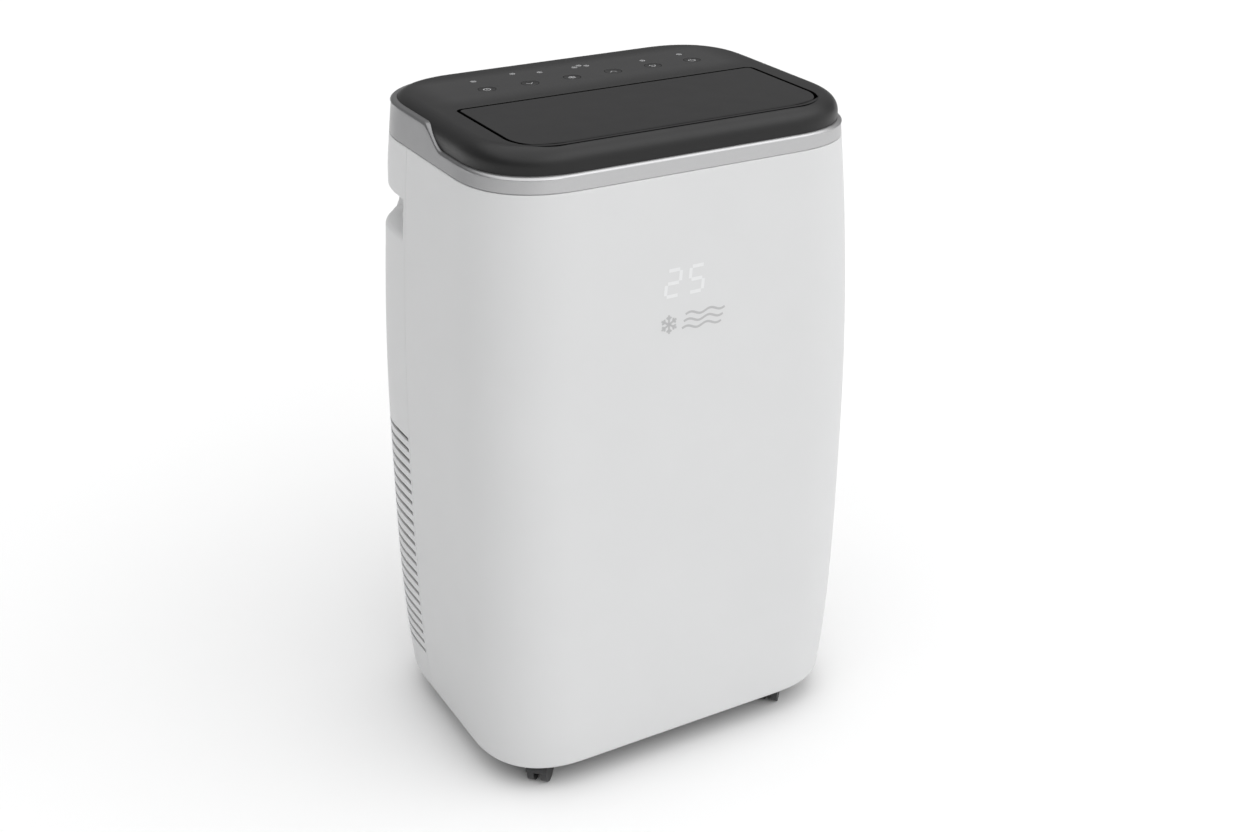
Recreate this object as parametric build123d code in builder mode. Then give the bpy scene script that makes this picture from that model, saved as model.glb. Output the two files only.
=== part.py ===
"""Portable air conditioner: a barrel-sided white casing on four castors, with a silver trim ring,
a black top cover with six push buttons, and an air outlet under a hinged flap.

Millimetres. +Z is up, the front faces -Y, and the origin is on the floor under the casing's centre.
"""

import os
from math import cos, radians, sin

from build123d import *

os.makedirs("parts", exist_ok=True)

# ---------------------------------------------------------------- driving dimensions
HALF_WIDTH = 220.0  # casing at its waist
HALF_DEPTH = 159.3
CORNER_R = 78.0
CASE_BOTTOM = 28.0
WAIST_Z = 331.7
CASE_TOP = 655.0
WALL = 2.5
SEAM_Y = 43.0  # where the front and rear shells meet
SEAM_GAP = 0.3
TOP_Z = 694.6  # plateau of the top cover

TRIM_FRONT_Z = 671.0  # silver ring, low at the front
TRIM_REAR_Z = 689.0  # and high behind the ramp
RAMP_Y0, RAMP_Y1 = -36.0, 10.0

COVER_HALF_X, COVER_HALF_Y, COVER_R = 199.0, 148.0, 74.5
COVER_EDGE_R = 17.0
COVER_T = 3.0

FLAP_X, FLAP_FRONT, FLAP_REAR = 164.0, -132.0, 10.0
FLAP_GAP = 2.0
FLAP_FRONT_R, FLAP_REAR_R = 38.0, 6.0
FLAP_AXIS_Y, FLAP_AXIS_Z = 5.0, TOP_Z - 4.0
FLAP_PIN_R, KNUCKLE_R = 1.5, 3.4
KNUCKLE_X0, KNUCKLE_X1, FLAP_PIN_END = 153.6, 157.6, 164.4
LUG_X0, LUG_X1, LUG_R = 158.2, 162.8, 2.4  # bearing lugs that hold the flap's pins
RUN_FIT = 0.06  # radial clearance of a pin or shaft that turns in its bore

BUTTON_Y = 64.0
BUTTON_X = [-108.0 + 47.2 * i for i in range(6)]
BUTTON_R = 8.8
BUTTON_BOTTOM = TOP_Z - 6.6
BOARD_Z, BOARD_T, SWITCH_H = 681.0, 1.6, 3.4
LIGHT_R = 1.5
INDICATORS = [(-108, 96), (-61, 104), (-34, 96), (6, 96), (13, 100), (20, 96), (81, 86), (128, 90)]

THROAT_X, THROAT_FRONT, THROAT_REAR = 150.0, -124.0, -6.0  # inside of the outlet duct
VANE_X = [-125.0 + 50.0 * i for i in range(6)]
VANE_AXIS_Z = 664.0
VANE_T, VANE_PIN_R = 1.6, 1.5
CRANK_DROP, CRANK_PIN_R = 15.0, 1.2

SLOT_COUNT, SLOT_PITCH, SLOT_H, SLOT_LOW_Z = 22, 12.6, 4.8, 78.0
SLOT_Y0, SLOT_Y1 = 46.5, 120.0
HANDLE_Y0, HANDLE_Y1 = 49.0, 136.0
HANDLE_Z0, HANDLE_Z1 = 564.0, 605.0
HANDLE_FLOOR_X = 189.0
FOOT_CHAMFER = 2.0

PAN_Z, PAN_T = 40.0, 3.0
PAN_TOP = PAN_Z + PAN_T
PAN_RIM, PAN_WALL = 18.0, 2.5
BOSS_R, BOSS_TOP = 11.0, 66.0
DECK_Z, DECK_T = 404.0, 4.0
DECK_TOP = DECK_Z + DECK_T
DECK_RIM = 16.0
POST_X, POST_Y = 199.0, 60.0

CASTOR_X, CASTOR_Y = 146.0, 108.0
CASTOR_TRAIL, WHEEL_R, WHEEL_T = 20.0, 17.0, 7.4
CASTOR_HEADING = 228.0  # degrees from +X that the wheels trail towards
WEB_T, STEM_R, AXLE_R = 6.0, 5.0, 2.5
HOOD_R, HOOD_W = 19.4, 22.8

EXHAUST_X, EXHAUST_Z, EXHAUST_R = 20.0, 320.0, 75.0
LOWER_FAN_X, LOWER_FAN_Z = 85.0, 158.0
UPPER_FAN_X, UPPER_FAN_Z = -25.0, 512.0
LOWER_HOUSING_Y0, LOWER_HOUSING_Y1 = -20.0, 40.0
UPPER_HOUSING_Y0, UPPER_HOUSING_Y1 = -122.0, -26.0
LOWER_SCROLL_R, UPPER_SCROLL_R, BLOWER_TOP = 92.0, 96.0, 618.0
LOWER_WHEEL_R, UPPER_WHEEL_R, SHAFT_R = 74.0, 78.0, 4.0
MOTOR_R = 36.0
SHEET = 2.0

COMPRESSOR_X, COMPRESSOR_Y, COMPRESSOR_R = -120.0, -30.0, 56.0
COMPRESSOR_Z0, COMPRESSOR_Z1 = 58.0, 270.0
FOOT_PLATE_R, MOUNT_CIRCLE_R = 70.0, 58.0

LOWER_GRILLE = (0.0, 158.0, 236.0, 160.0)  # centre x, centre z, width, height
UPPER_GRILLE = (0.0, 550.0, 260.0, 160.0)
GRILLE_GAP, GRILLE_R = 0.4, 8.0
FILTER_Y, FILTER_T, FILTER_MARGIN, FILTER_BORDER = 144.0, 3.0, 4.0, 6.0


def barrel_inset(z):
    """How far the casing's side has drawn in from its waist at height z."""
    if z > WAIST_Z:
        return 15.9 * ((z - WAIST_Z) / 323.6) ** 2
    return 9.4 * ((WAIST_Z - z) / 303.8) ** 3.5


def casing_solid(inset, levels):
    """The barrel shape as a solid through rounded rectangles at the levels, all drawn in by inset."""
    with BuildPart(mode=Mode.PRIVATE) as solid:
        for z in levels:
            k = barrel_inset(z)
            with BuildSketch(Plane.XY.offset(z)):
                RectangleRounded(
                    2 * (HALF_WIDTH - k - inset), 2 * (HALF_DEPTH - k / 2 - inset), CORNER_R - inset
                )
        loft()
    return solid.part


def block(x0, x1, y0, y1, z0, z1, mode=Mode.ADD):
    """A box from its limits, in the part being built."""
    with Locations(((x0 + x1) / 2, (y0 + y1) / 2, (z0 + z1) / 2)):
        Box(x1 - x0, y1 - y0, z1 - z0, mode=mode)


def rod(radius, start, end, mode=Mode.ADD):
    """A round bar between two points, in the part being built."""
    axis = Vector(*end) - Vector(*start)
    with BuildSketch(Plane(origin=start, z_dir=axis)) as section:
        Circle(radius)
    extrude(section.sketch, amount=axis.length, mode=mode)


CASE_LEVELS = [CASE_BOTTOM, 60.0, 110.0, 190.0, WAIST_Z, 450.0, 560.0, CASE_TOP]
outer = casing_solid(0.0, CASE_LEVELS)
inner = casing_solid(WALL, [CASE_BOTTOM - 8.0] + CASE_LEVELS[1:-1] + [CASE_TOP + 8.0])

# ---------------------------------------------------------------- casing
with BuildPart() as front_panel:
    add(outer)
    bottom_edges = front_panel.edges().group_by(Axis.Z)[0]
    chamfer(bottom_edges, FOOT_CHAMFER)
    add(inner, mode=Mode.SUBTRACT)
    block(-250, 250, SEAM_Y - SEAM_GAP / 2, 250, 0, 700, Mode.SUBTRACT)

SCREW_PLACES = [(-110, 442), (110, 442), (-150, 60), (-140, 646), (140, 646), (0, 646)]
DRAIN_PLACES = [(0, 152, 56), (-120, 154, 428)]
GLAND_X, GLAND_Z = 132.0, 72.0
GLAND_R, CORD_R = 8.9, 4.0
PIPE_X, PIPE_R = -172.0, 4.0


def slot_boxes(x, y, z, width, depth, count):
    """Cut a bank of horizontal slots, one above the other, out of the part being built."""
    with Locations(*[(x, y, z + (i - (count - 1) / 2) * SLOT_PITCH) for i in range(count)]):
        Box(width, depth, SLOT_H, mode=Mode.SUBTRACT)


def handle_prism(side, outline, y0, y1):
    """A prism along Y on one side of the casing, from an outline in x and z for the right-hand side."""
    with BuildPart(mode=Mode.PRIVATE) as prism:
        with BuildSketch(Plane.XZ.offset(-y0)):
            with BuildLine():
                Polyline(*[(side * x, z) for x, z in outline], close=True)
            make_face()
        extrude(amount=y0 - y1)
    return prism.part


pocket_outline = [
    (HANDLE_FLOOR_X - WALL, HANDLE_Z0 - WALL),
    (HANDLE_FLOOR_X - WALL, HANDLE_Z1 - 8.5),
    (207, HANDLE_Z1 + WALL),
    (230, HANDLE_Z1 + WALL),
    (230, HANDLE_Z0 - WALL),
]
grip_outline = [
    (HANDLE_FLOOR_X, HANDLE_Z0 + 1.5),
    (HANDLE_FLOOR_X, HANDLE_Z1 - 10.5),
    (208, HANDLE_Z1 - 1),
    (230, HANDLE_Z1),
    (230, HANDLE_Z0),
]
pockets = [
    handle_prism(side, pocket_outline, HANDLE_Y0 - WALL, HANDLE_Y1 + WALL) & outer for side in (-1, 1)
]
grips = [handle_prism(side, grip_outline, HANDLE_Y0, HANDLE_Y1) for side in (-1, 1)]

with BuildPart() as rear_panel:
    add(outer)
    bottom_edges = rear_panel.edges().group_by(Axis.Z)[0]
    chamfer(bottom_edges, FOOT_CHAMFER)
    add(inner, mode=Mode.SUBTRACT)
    block(-250, 250, -250, SEAM_Y + SEAM_GAP / 2, 0, 700, Mode.SUBTRACT)
    # hand recesses: a walled pocket on each side that runs rearward round the corner
    add(pockets)
    add(grips, mode=Mode.SUBTRACT)
    # cooling slots, cut through both sides and round the rear corners
    slot_boxes(
        0, (SLOT_Y0 + SLOT_Y1) / 2, SLOT_LOW_Z + (SLOT_COUNT - 1) / 2 * SLOT_PITCH,
        500, SLOT_Y1 - SLOT_Y0, SLOT_COUNT,
    )
    # windows for the two filter grilles
    for x, z, width, height in (LOWER_GRILLE, UPPER_GRILLE):
        with BuildSketch(Plane.XZ.offset(-120)):
            with Locations((x, z)):
                RectangleRounded(width, height, GRILLE_R)
        extrude(amount=-60, mode=Mode.SUBTRACT)
    rod(EXHAUST_R + 4.4, (EXHAUST_X, 120, EXHAUST_Z), (EXHAUST_X, 170, EXHAUST_Z), Mode.SUBTRACT)
    for x, y, z in DRAIN_PLACES:
        rod(10.6, (x, y - 20, z), (x, 170, z), Mode.SUBTRACT)
    rod(GLAND_R + 0.1, (GLAND_X, 120, GLAND_Z), (GLAND_X, 170, GLAND_Z), Mode.SUBTRACT)
    for x, z in SCREW_PLACES:
        rod(1.8, (x, 120, z), (x, 170, z), Mode.SUBTRACT)


def grille_panel(window, slots):
    """A louvred piece of the rear wall that fills a window, with clips for its filter."""
    x, z, width, height = window
    with BuildPart() as panel:
        add(outer)
        add(inner, mode=Mode.SUBTRACT)
        with BuildSketch(Plane.XZ.offset(-120)):
            with Locations((x, z)):
                RectangleRounded(width - 2 * GRILLE_GAP, height - 2 * GRILLE_GAP, GRILLE_R - GRILLE_GAP)
        extrude(amount=-60, mode=Mode.INTERSECT)
        slot_boxes(x, 150, z, width - 24, 50, slots)
        corner_x, corner_z = width / 2 - 7, height / 2 - 7
        for clip_x in (x - corner_x, x + corner_x):
            for clip_z in (z - corner_z, z + corner_z):
                wall_y = HALF_DEPTH - barrel_inset(clip_z) / 2 - WALL / 2
                rod(2.5, (clip_x, FILTER_Y + FILTER_T, clip_z), (clip_x, wall_y, clip_z))
    return panel


def filter_frame(window, bars_x, bars_z):
    """A filter: a thin frame with a coarse grid that carries the mesh."""
    x, z, width, height = window
    half_w, half_h = width / 2 - FILTER_MARGIN, height / 2 - FILTER_MARGIN
    open_w, open_h = half_w - FILTER_BORDER, half_h - FILTER_BORDER
    bar_y0, bar_y1, bar = FILTER_Y + 1.0, FILTER_Y + 2.4, 0.8
    with BuildPart() as frame:
        block(x - half_w, x + half_w, FILTER_Y, FILTER_Y + FILTER_T, z - half_h, z + half_h)
        block(x - open_w, x + open_w, FILTER_Y - 4, FILTER_Y + 6, z - open_h, z + open_h, Mode.SUBTRACT)
        for i in range(1, bars_x):
            bar_x = x - half_w + 2 * half_w * i / bars_x
            block(bar_x - bar, bar_x + bar, bar_y0, bar_y1, z - half_h, z + half_h)
        for i in range(1, bars_z):
            bar_z = z - half_h + 2 * half_h * i / bars_z
            block(x - half_w, x + half_w, bar_y0, bar_y1, bar_z - bar, bar_z + bar)
    return frame


lower_grille = grille_panel(LOWER_GRILLE, 11)
upper_grille = grille_panel(UPPER_GRILLE, 11)
lower_filter = filter_frame(LOWER_GRILLE, 8, 6)
upper_filter = filter_frame(UPPER_GRILLE, 9, 6)

# ---------------------------------------------------------------- top cover, trim ring and flap
with BuildPart() as cover_shape:
    with BuildSketch(Plane.XY.offset(CASE_TOP)):
        RectangleRounded(2 * COVER_HALF_X, 2 * COVER_HALF_Y, COVER_R)
    extrude(amount=TOP_Z - CASE_TOP)
    fillet(cover_shape.edges().group_by(Axis.Z)[-1], COVER_EDGE_R)

with BuildPart() as cover_hollow:
    with BuildSketch(Plane.XY.offset(CASE_TOP)):
        RectangleRounded(2 * (COVER_HALF_X - COVER_T), 2 * (COVER_HALF_Y - COVER_T), COVER_R - COVER_T)
    extrude(amount=TOP_Z - CASE_TOP - COVER_T)
    fillet(cover_hollow.edges().group_by(Axis.Z)[-1], COVER_EDGE_R - COVER_T)

with BuildPart() as trim_ring:
    add(casing_solid(0.0, [CASE_TOP, 667.0, 679.0, TRIM_REAR_Z + 1.5]))
    add(cover_shape.part, mode=Mode.SUBTRACT)
    with BuildSketch(Plane.YZ.offset(-250)):
        with BuildLine():
            Polyline(
                (-250, TRIM_FRONT_Z),
                (RAMP_Y0, TRIM_FRONT_Z),
                (RAMP_Y1, TRIM_REAR_Z),
                (250, TRIM_REAR_Z),
                (250, 720),
                (-250, 720),
                close=True,
            )
        make_face()
    extrude(amount=500, mode=Mode.SUBTRACT)


def flap_outline(grow):
    """The flap's plan: tight corners at the hinge edge and large ones at the front."""
    with BuildSketch() as outline:
        with Locations((0, (FLAP_FRONT + FLAP_REAR) / 2)):
            Rectangle(2 * (FLAP_X + grow), FLAP_REAR - FLAP_FRONT + 2 * grow)
        fillet(outline.vertices().group_by(Axis.Y)[0], FLAP_FRONT_R + grow)
        fillet(outline.vertices().group_by(Axis.Y)[-1], FLAP_REAR_R + grow)
    return outline.sketch


with BuildPart() as top_cover:
    add(cover_shape.part)
    add(cover_hollow.part, mode=Mode.SUBTRACT)
    extrude(Plane.XY.offset(TOP_Z - 10) * flap_outline(FLAP_GAP), amount=20, mode=Mode.SUBTRACT)
    # guide collars round the buttons, and pillars for the control board
    for x in BUTTON_X:
        rod(BUTTON_R + 0.3, (x, BUTTON_Y, TOP_Z - 10), (x, BUTTON_Y, TOP_Z + 1), Mode.SUBTRACT)
    for x, y in INDICATORS:
        rod(LIGHT_R + 0.1, (x, y, TOP_Z - 10), (x, y, TOP_Z + 1), Mode.SUBTRACT)
    for x in (-145, -84, 57, 150):
        for y in (50, 110):
            rod(3.0, (x, y, BOARD_Z + BOARD_T), (x, y, TOP_Z - COVER_T))

with BuildPart() as control_board:
    block(-155, 158, 42, 116, BOARD_Z, BOARD_Z + BOARD_T)
    for x in BUTTON_X:
        block(x - 3, x + 3, BUTTON_Y - 3, BUTTON_Y + 3, BOARD_Z + BOARD_T, BOARD_Z + BOARD_T + SWITCH_H)

with BuildPart() as indicator_lights:
    for x, y in INDICATORS:
        rod(LIGHT_R, (x, y, BOARD_Z + BOARD_T), (x, y, TOP_Z))

buttons = {}
for number, x in enumerate(BUTTON_X, 1):
    with BuildPart() as button:
        rod(BUTTON_R, (x, BUTTON_Y, BUTTON_BOTTOM), (x, BUTTON_Y, TOP_Z))
        fillet(button.edges().group_by(Axis.Z)[-1], 0.6)
        rod(BUTTON_R + 2, (x, BUTTON_Y, BUTTON_BOTTOM), (x, BUTTON_Y, TOP_Z - COVER_T - 0.3))
    buttons[f"button_{number}"] = button

with BuildPart() as outlet_flap:
    extrude(Plane.XY.offset(TOP_Z - COVER_T) * flap_outline(0), amount=COVER_T)
    fillet(outlet_flap.edges().group_by(Axis.Z)[-1], 0.8)
    # stiffening ribs under the plate
    for x in (-90, 0, 90):
        block(x - 1, x + 1, -118, -14, TOP_Z - COVER_T - 3, TOP_Z - COVER_T)
    for side in (-1, 1):
        # a thin pocket over each bearing lug, then the knuckle and its pin
        block(
            *sorted((side * (LUG_X0 - 0.4), side * (FLAP_X + 6))), FLAP_AXIS_Y - KNUCKLE_R, FLAP_REAR + 10,
            TOP_Z - COVER_T - 1, TOP_Z - 1, Mode.SUBTRACT,
        )
        hinge_start = (side * KNUCKLE_X0, FLAP_AXIS_Y, FLAP_AXIS_Z)
        rod(KNUCKLE_R, hinge_start, (side * KNUCKLE_X1, FLAP_AXIS_Y, FLAP_AXIS_Z))
        rod(FLAP_PIN_R, hinge_start, (side * FLAP_PIN_END, FLAP_AXIS_Y, FLAP_AXIS_Z))

# ---------------------------------------------------------------- outlet duct and its swing vanes
DUCT_TOP, DUCT_SHELF, DUCT_BOTTOM = 687.0, 674.0, 650.0


def duct_core(grow):
    """The duct's air path, or its outside when grown by the wall's thickness."""
    with BuildPart(mode=Mode.PRIVATE) as core:
        with BuildSketch(Plane.XY.offset(DUCT_BOTTOM)) as mouth:
            with Locations((0, (THROAT_FRONT + THROAT_REAR) / 2)):
                Rectangle(2 * (THROAT_X + grow), THROAT_REAR - THROAT_FRONT + 2 * grow)
        with BuildSketch(Plane.XY.offset(BLOWER_TOP)):
            with Locations((UPPER_FAN_X, (UPPER_HOUSING_Y0 + UPPER_HOUSING_Y1) / 2)):
                Rectangle(
                    2 * (UPPER_SCROLL_R - SHEET + grow),
                    UPPER_HOUSING_Y1 - UPPER_HOUSING_Y0 + 2 * (grow - SHEET),
                )
        loft(ruled=True)
        extrude(mouth.sketch, amount=DUCT_TOP - DUCT_BOTTOM)
    return core.part


with BuildPart() as outlet_duct:
    add(duct_core(SHEET))
    for side in (-1, 1):
        # a shelf on each side carries the flap's bearing lug
        block(*sorted((side * (THROAT_X + 1), side * 163)), -30, 14, DUCT_SHELF - 3, DUCT_SHELF)
        block(
            *sorted((side * LUG_X0, side * LUG_X1)), FLAP_AXIS_Y - LUG_R, FLAP_AXIS_Y + LUG_R,
            DUCT_SHELF, FLAP_AXIS_Z,
        )
        rod(LUG_R, (side * LUG_X0, FLAP_AXIS_Y, FLAP_AXIS_Z), (side * LUG_X1, FLAP_AXIS_Y, FLAP_AXIS_Z))
        rod(
            FLAP_PIN_R + RUN_FIT, (side * (LUG_X0 - 1), FLAP_AXIS_Y, FLAP_AXIS_Z),
            (side * (LUG_X1 + 5), FLAP_AXIS_Y, FLAP_AXIS_Z), Mode.SUBTRACT,
        )
    add(duct_core(0), mode=Mode.SUBTRACT)
    for x in VANE_X:
        rod(
            VANE_PIN_R + RUN_FIT,
            (x, THROAT_FRONT - 5, VANE_AXIS_Z), (x, THROAT_REAR + 5, VANE_AXIS_Z), Mode.SUBTRACT,
        )

vanes = {}
for number, x in enumerate(VANE_X, 1):
    with BuildPart() as vane:
        crank_z = VANE_AXIS_Z - CRANK_DROP
        x0, x1 = x - VANE_T / 2, x + VANE_T / 2
        block(x0, x1, THROAT_FRONT + 1, THROAT_REAR - 1, VANE_AXIS_Z - 10, VANE_AXIS_Z + 13)
        rod(VANE_PIN_R, (x, THROAT_FRONT - 1.9, VANE_AXIS_Z), (x, THROAT_REAR + 1.9, VANE_AXIS_Z))
        # a crank tab below the blade ends in the pin that the link bar pushes
        block(x0, x1, -72, -60, crank_z, VANE_AXIS_Z - 10)
        rod(CRANK_PIN_R, (x, -72, crank_z), (x, -53, crank_z))
    vanes[f"swing_vane_{number}"] = vane

with BuildPart() as vane_link:
    # a bar with an open fork round each vane's crank pin
    block(VANE_X[0] - 3, VANE_X[-1] + 3, -58, -54, VANE_AXIS_Z - 19, VANE_AXIS_Z - 11)
    for x in VANE_X:
        fork = CRANK_PIN_R + 0.35
        block(x - fork, x + fork, -59, -53, VANE_AXIS_Z - 17, VANE_AXIS_Z - 10, Mode.SUBTRACT)

FLAP_MOTOR_Z = 655.0

with BuildPart() as flap_motor:
    # a geared motor low beside the duct, with a drive arm up to the flap's left pin
    arm_y0, arm_y1 = FLAP_AXIS_Y - LUG_R, FLAP_AXIS_Y + LUG_R
    rod(12, (-184, FLAP_AXIS_Y, FLAP_MOTOR_Z), (-167.4, FLAP_AXIS_Y, FLAP_MOTOR_Z))
    block(-167.4, -163.2, arm_y0, arm_y1, FLAP_MOTOR_Z, 680)
    block(-165.6, -163.2, arm_y0, arm_y1, 680, FLAP_AXIS_Z + 1)
    rod(
        FLAP_PIN_R + RUN_FIT,
        (-168, FLAP_AXIS_Y, FLAP_AXIS_Z), (-163, FLAP_AXIS_Y, FLAP_AXIS_Z), Mode.SUBTRACT,
    )

# ---------------------------------------------------------------- chassis
PAN_HALF_X, PAN_HALF_Y = 209.0, 151.8
DECK_HALF_X, DECK_HALF_Y = 212.0, 151.0
SPOUT_R, SPOUT_BORE_R = 8.5, 6.0

with BuildPart() as base_pan:
    with BuildSketch(Plane.XY.offset(PAN_Z)) as floor_plan:
        RectangleRounded(2 * PAN_HALF_X, 2 * PAN_HALF_Y, CORNER_R - 2)
    extrude(amount=PAN_RIM)
    with BuildSketch(Plane.XY.offset(PAN_TOP)):
        offset(floor_plan.sketch, amount=-PAN_WALL)
    extrude(amount=PAN_RIM, mode=Mode.SUBTRACT)
    for x in (-CASTOR_X, CASTOR_X):
        for y in (-CASTOR_Y, CASTOR_Y):
            rod(BOSS_R, (x, y, PAN_TOP), (x, y, BOSS_TOP))
            rod(STEM_R + RUN_FIT, (x, y, PAN_Z - 1), (x, y, BOSS_TOP + 1), Mode.SUBTRACT)
    # condensate drain spout at the back
    x, y, z = DRAIN_PLACES[0]
    block(x - 14, x + 14, 120, 146, PAN_TOP, PAN_TOP + 4)
    rod(SPOUT_R, (x, 130, z), (x, y, z))
    rod(SPOUT_BORE_R, (x, 134, z), (x, y, z), Mode.SUBTRACT)

with BuildPart() as chassis_posts:
    # folded channels, open towards the middle
    for side in (-1, 1):
        for y in (-POST_Y, POST_Y):
            block(side * POST_X - 5, side * POST_X + 5, y - 9, y + 9, PAN_TOP, DECK_Z)
            block(
                *sorted((side * (POST_X - 7), side * POST_X)), y - 7, y + 7,
                PAN_TOP + 4, DECK_Z - 4, Mode.SUBTRACT,
            )

with BuildPart() as deck_tray:
    with BuildSketch(Plane.XY.offset(DECK_Z)) as deck_plan:
        RectangleRounded(2 * DECK_HALF_X, 2 * DECK_HALF_Y, CORNER_R - 8)
    extrude(amount=DECK_RIM)
    with BuildSketch(Plane.XY.offset(DECK_TOP)):
        offset(deck_plan.sketch, amount=-PAN_WALL)
    extrude(amount=DECK_RIM, mode=Mode.SUBTRACT)
    # holes for the two pipes that come up from below
    for y in (50, 72):
        rod(PIPE_R + 2, (PIPE_X, y, DECK_Z - 1), (PIPE_X, y, DECK_TOP + 1), Mode.SUBTRACT)
    x, y, z = DRAIN_PLACES[1]
    block(x - 12, x + 12, 120, 146, DECK_TOP, DECK_TOP + 12)
    rod(SPOUT_R, (x, 130, z), (x, y, z))
    rod(SPOUT_BORE_R, (x, 134, z), (x, y, z), Mode.SUBTRACT)


def drain_plug(x, y, z):
    """A rubber stopper: a plug in the spout with a round pull flange outside."""
    with BuildPart() as plug:
        rod(SPOUT_BORE_R - 0.05, (x, y - 14, z), (x, y, z))
        rod(SPOUT_R + 1, (x, y, z), (x, y + 3, z))
        fillet(plug.edges().group_by(Axis.Y)[-1], 1.0)
    return plug


drain_plug_lower = drain_plug(*DRAIN_PLACES[0])
drain_plug_upper = drain_plug(*DRAIN_PLACES[1])

with BuildPart() as cord_gland:
    rod(GLAND_R, (GLAND_X, 149, GLAND_Z), (GLAND_X, 157, GLAND_Z))
    rod(11, (GLAND_X, 149, GLAND_Z), (GLAND_X, 152.5, GLAND_Z))
    fillet(cord_gland.edges().group_by(Axis.Y)[-1], 1.5)
    rod(CORD_R, (GLAND_X, 146, GLAND_Z), (GLAND_X, 158, GLAND_Z), Mode.SUBTRACT)

with BuildPart() as electrical_box:
    block(112, 192, -90, 20, 262, DECK_Z)
    fillet(electrical_box.edges().filter_by(Axis.Z), 4)

# ---------------------------------------------------------------- refrigeration circuit
with BuildPart() as compressor:
    foot = Vector(COMPRESSOR_X, COMPRESSOR_Y, COMPRESSOR_Z0)
    head = Vector(COMPRESSOR_X, COMPRESSOR_Y, COMPRESSOR_Z1)
    plate_top = foot + Vector(0, 0, 3)
    rod(COMPRESSOR_R, tuple(plate_top), tuple(head))
    fillet(compressor.edges().group_by(Axis.Z)[-1], 26)
    rod(FOOT_PLATE_R, tuple(foot), tuple(plate_top))
    # terminal cover on the domed top
    rod(14, tuple(head), tuple(head + Vector(0, 0, 12)))

with BuildPart() as compressor_mounts:
    with Locations((COMPRESSOR_X, COMPRESSOR_Y, PAN_TOP)):
        with PolarLocations(MOUNT_CIRCLE_R, 3, start_angle=30):
            Cylinder(
                9, COMPRESSOR_Z0 - PAN_TOP, align=(Align.CENTER, Align.CENTER, Align.MIN)
            )


def heat_exchanger(x0, x1, y0, y1, z0, z1, rows):
    """A finned coil: the fin pack between two end plates, with return bends at the +X end."""
    with BuildPart() as coil:
        block(x0, x1, y0, y1, z0, z1)
        for x in (x0, x1):
            block(x - 1, x + 1, y0 - 4, y1 + 4, z0 - 3, z1 + 3)
        pitch, tube_r, bend_r = (z1 - z0) / rows, 3, 5
        for i in range(rows):
            z = z0 + (i + 0.5) * pitch
            with BuildSketch(Plane(origin=(x1 + 1, (y0 + y1) / 2, z - bend_r), z_dir=(1, 0, 0))):
                Circle(tube_r)
            revolve(
                axis=Axis((x1 + 1, (y0 + y1) / 2, z), (0, 1, 0)),
                revolution_arc=180,
            )
    return coil


evaporator = heat_exchanger(-152, 152, 62, 98, 412, 636, 9)
condenser = heat_exchanger(-152, 152, 112, 136, 72, 234, 7)

with BuildPart() as refrigerant_pipes:
    for route in (
        [(-120, -30, 282), (-120, -30, 330), (PIPE_X, 72, 330), (PIPE_X, 72, 450), (-153, 72, 450)],
        [
            (-176, -30, 200), (-188, -30, 200), (-188, -30, 300), (PIPE_X, 50, 300),
            (PIPE_X, 50, 600), (PIPE_X, 84, 600), (-153, 84, 600),
        ],
        [(-120, 26, 100), (-120, 60, 100), (-178, 60, 100), (-178, 125, 100), (-153, 125, 100)],
    ):
        start, towards = Vector(*route[0]), Vector(*route[1])
        with BuildLine() as path:
            FilletPolyline(*route, radius=6)
        with BuildSketch(Plane(origin=start, z_dir=towards - start)):
            Circle(PIPE_R)
        sweep(path=path.line)

# ---------------------------------------------------------------- blowers


def blower_profile(fan_x, fan_z, radius, x0, x1, top):
    """The scroll's side view: a round volute that opens upward into a straight throat."""
    with BuildSketch() as profile:
        with Locations((fan_x, fan_z)):
            Circle(radius)
        with Locations(((x0 + x1) / 2, (fan_z + top) / 2)):
            Rectangle(x1 - x0, top - fan_z)
    return profile.sketch


def fan_wheel(x, y0, y1, z, radius, blades, shaft_y):
    """A squirrel-cage wheel: a back plate, a rim and a ring of forward-leaning blades on a hub."""
    with BuildPart() as wheel:
        rod(radius, (x, y0, z), (x, y0 + 2, z))
        rod(radius, (x, y1 - 2.5, z), (x, y1, z))
        rod(radius - 13, (x, y1 - 4, z), (x, y1 + 1, z), Mode.SUBTRACT)
        with Locations(Plane(origin=(x, (y0 + y1) / 2, z), x_dir=(1, 0, 0), z_dir=(0, 1, 0))):
            with PolarLocations(radius - 7.5, blades):
                Box(13, 1.6, y1 - y0, rotation=(0, 0, 28))
        rod(12, (x, y0, z), (x, y0 + 16, z))
        rod(SHAFT_R, (x, shaft_y, z), (x, y0, z))
    return wheel


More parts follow.
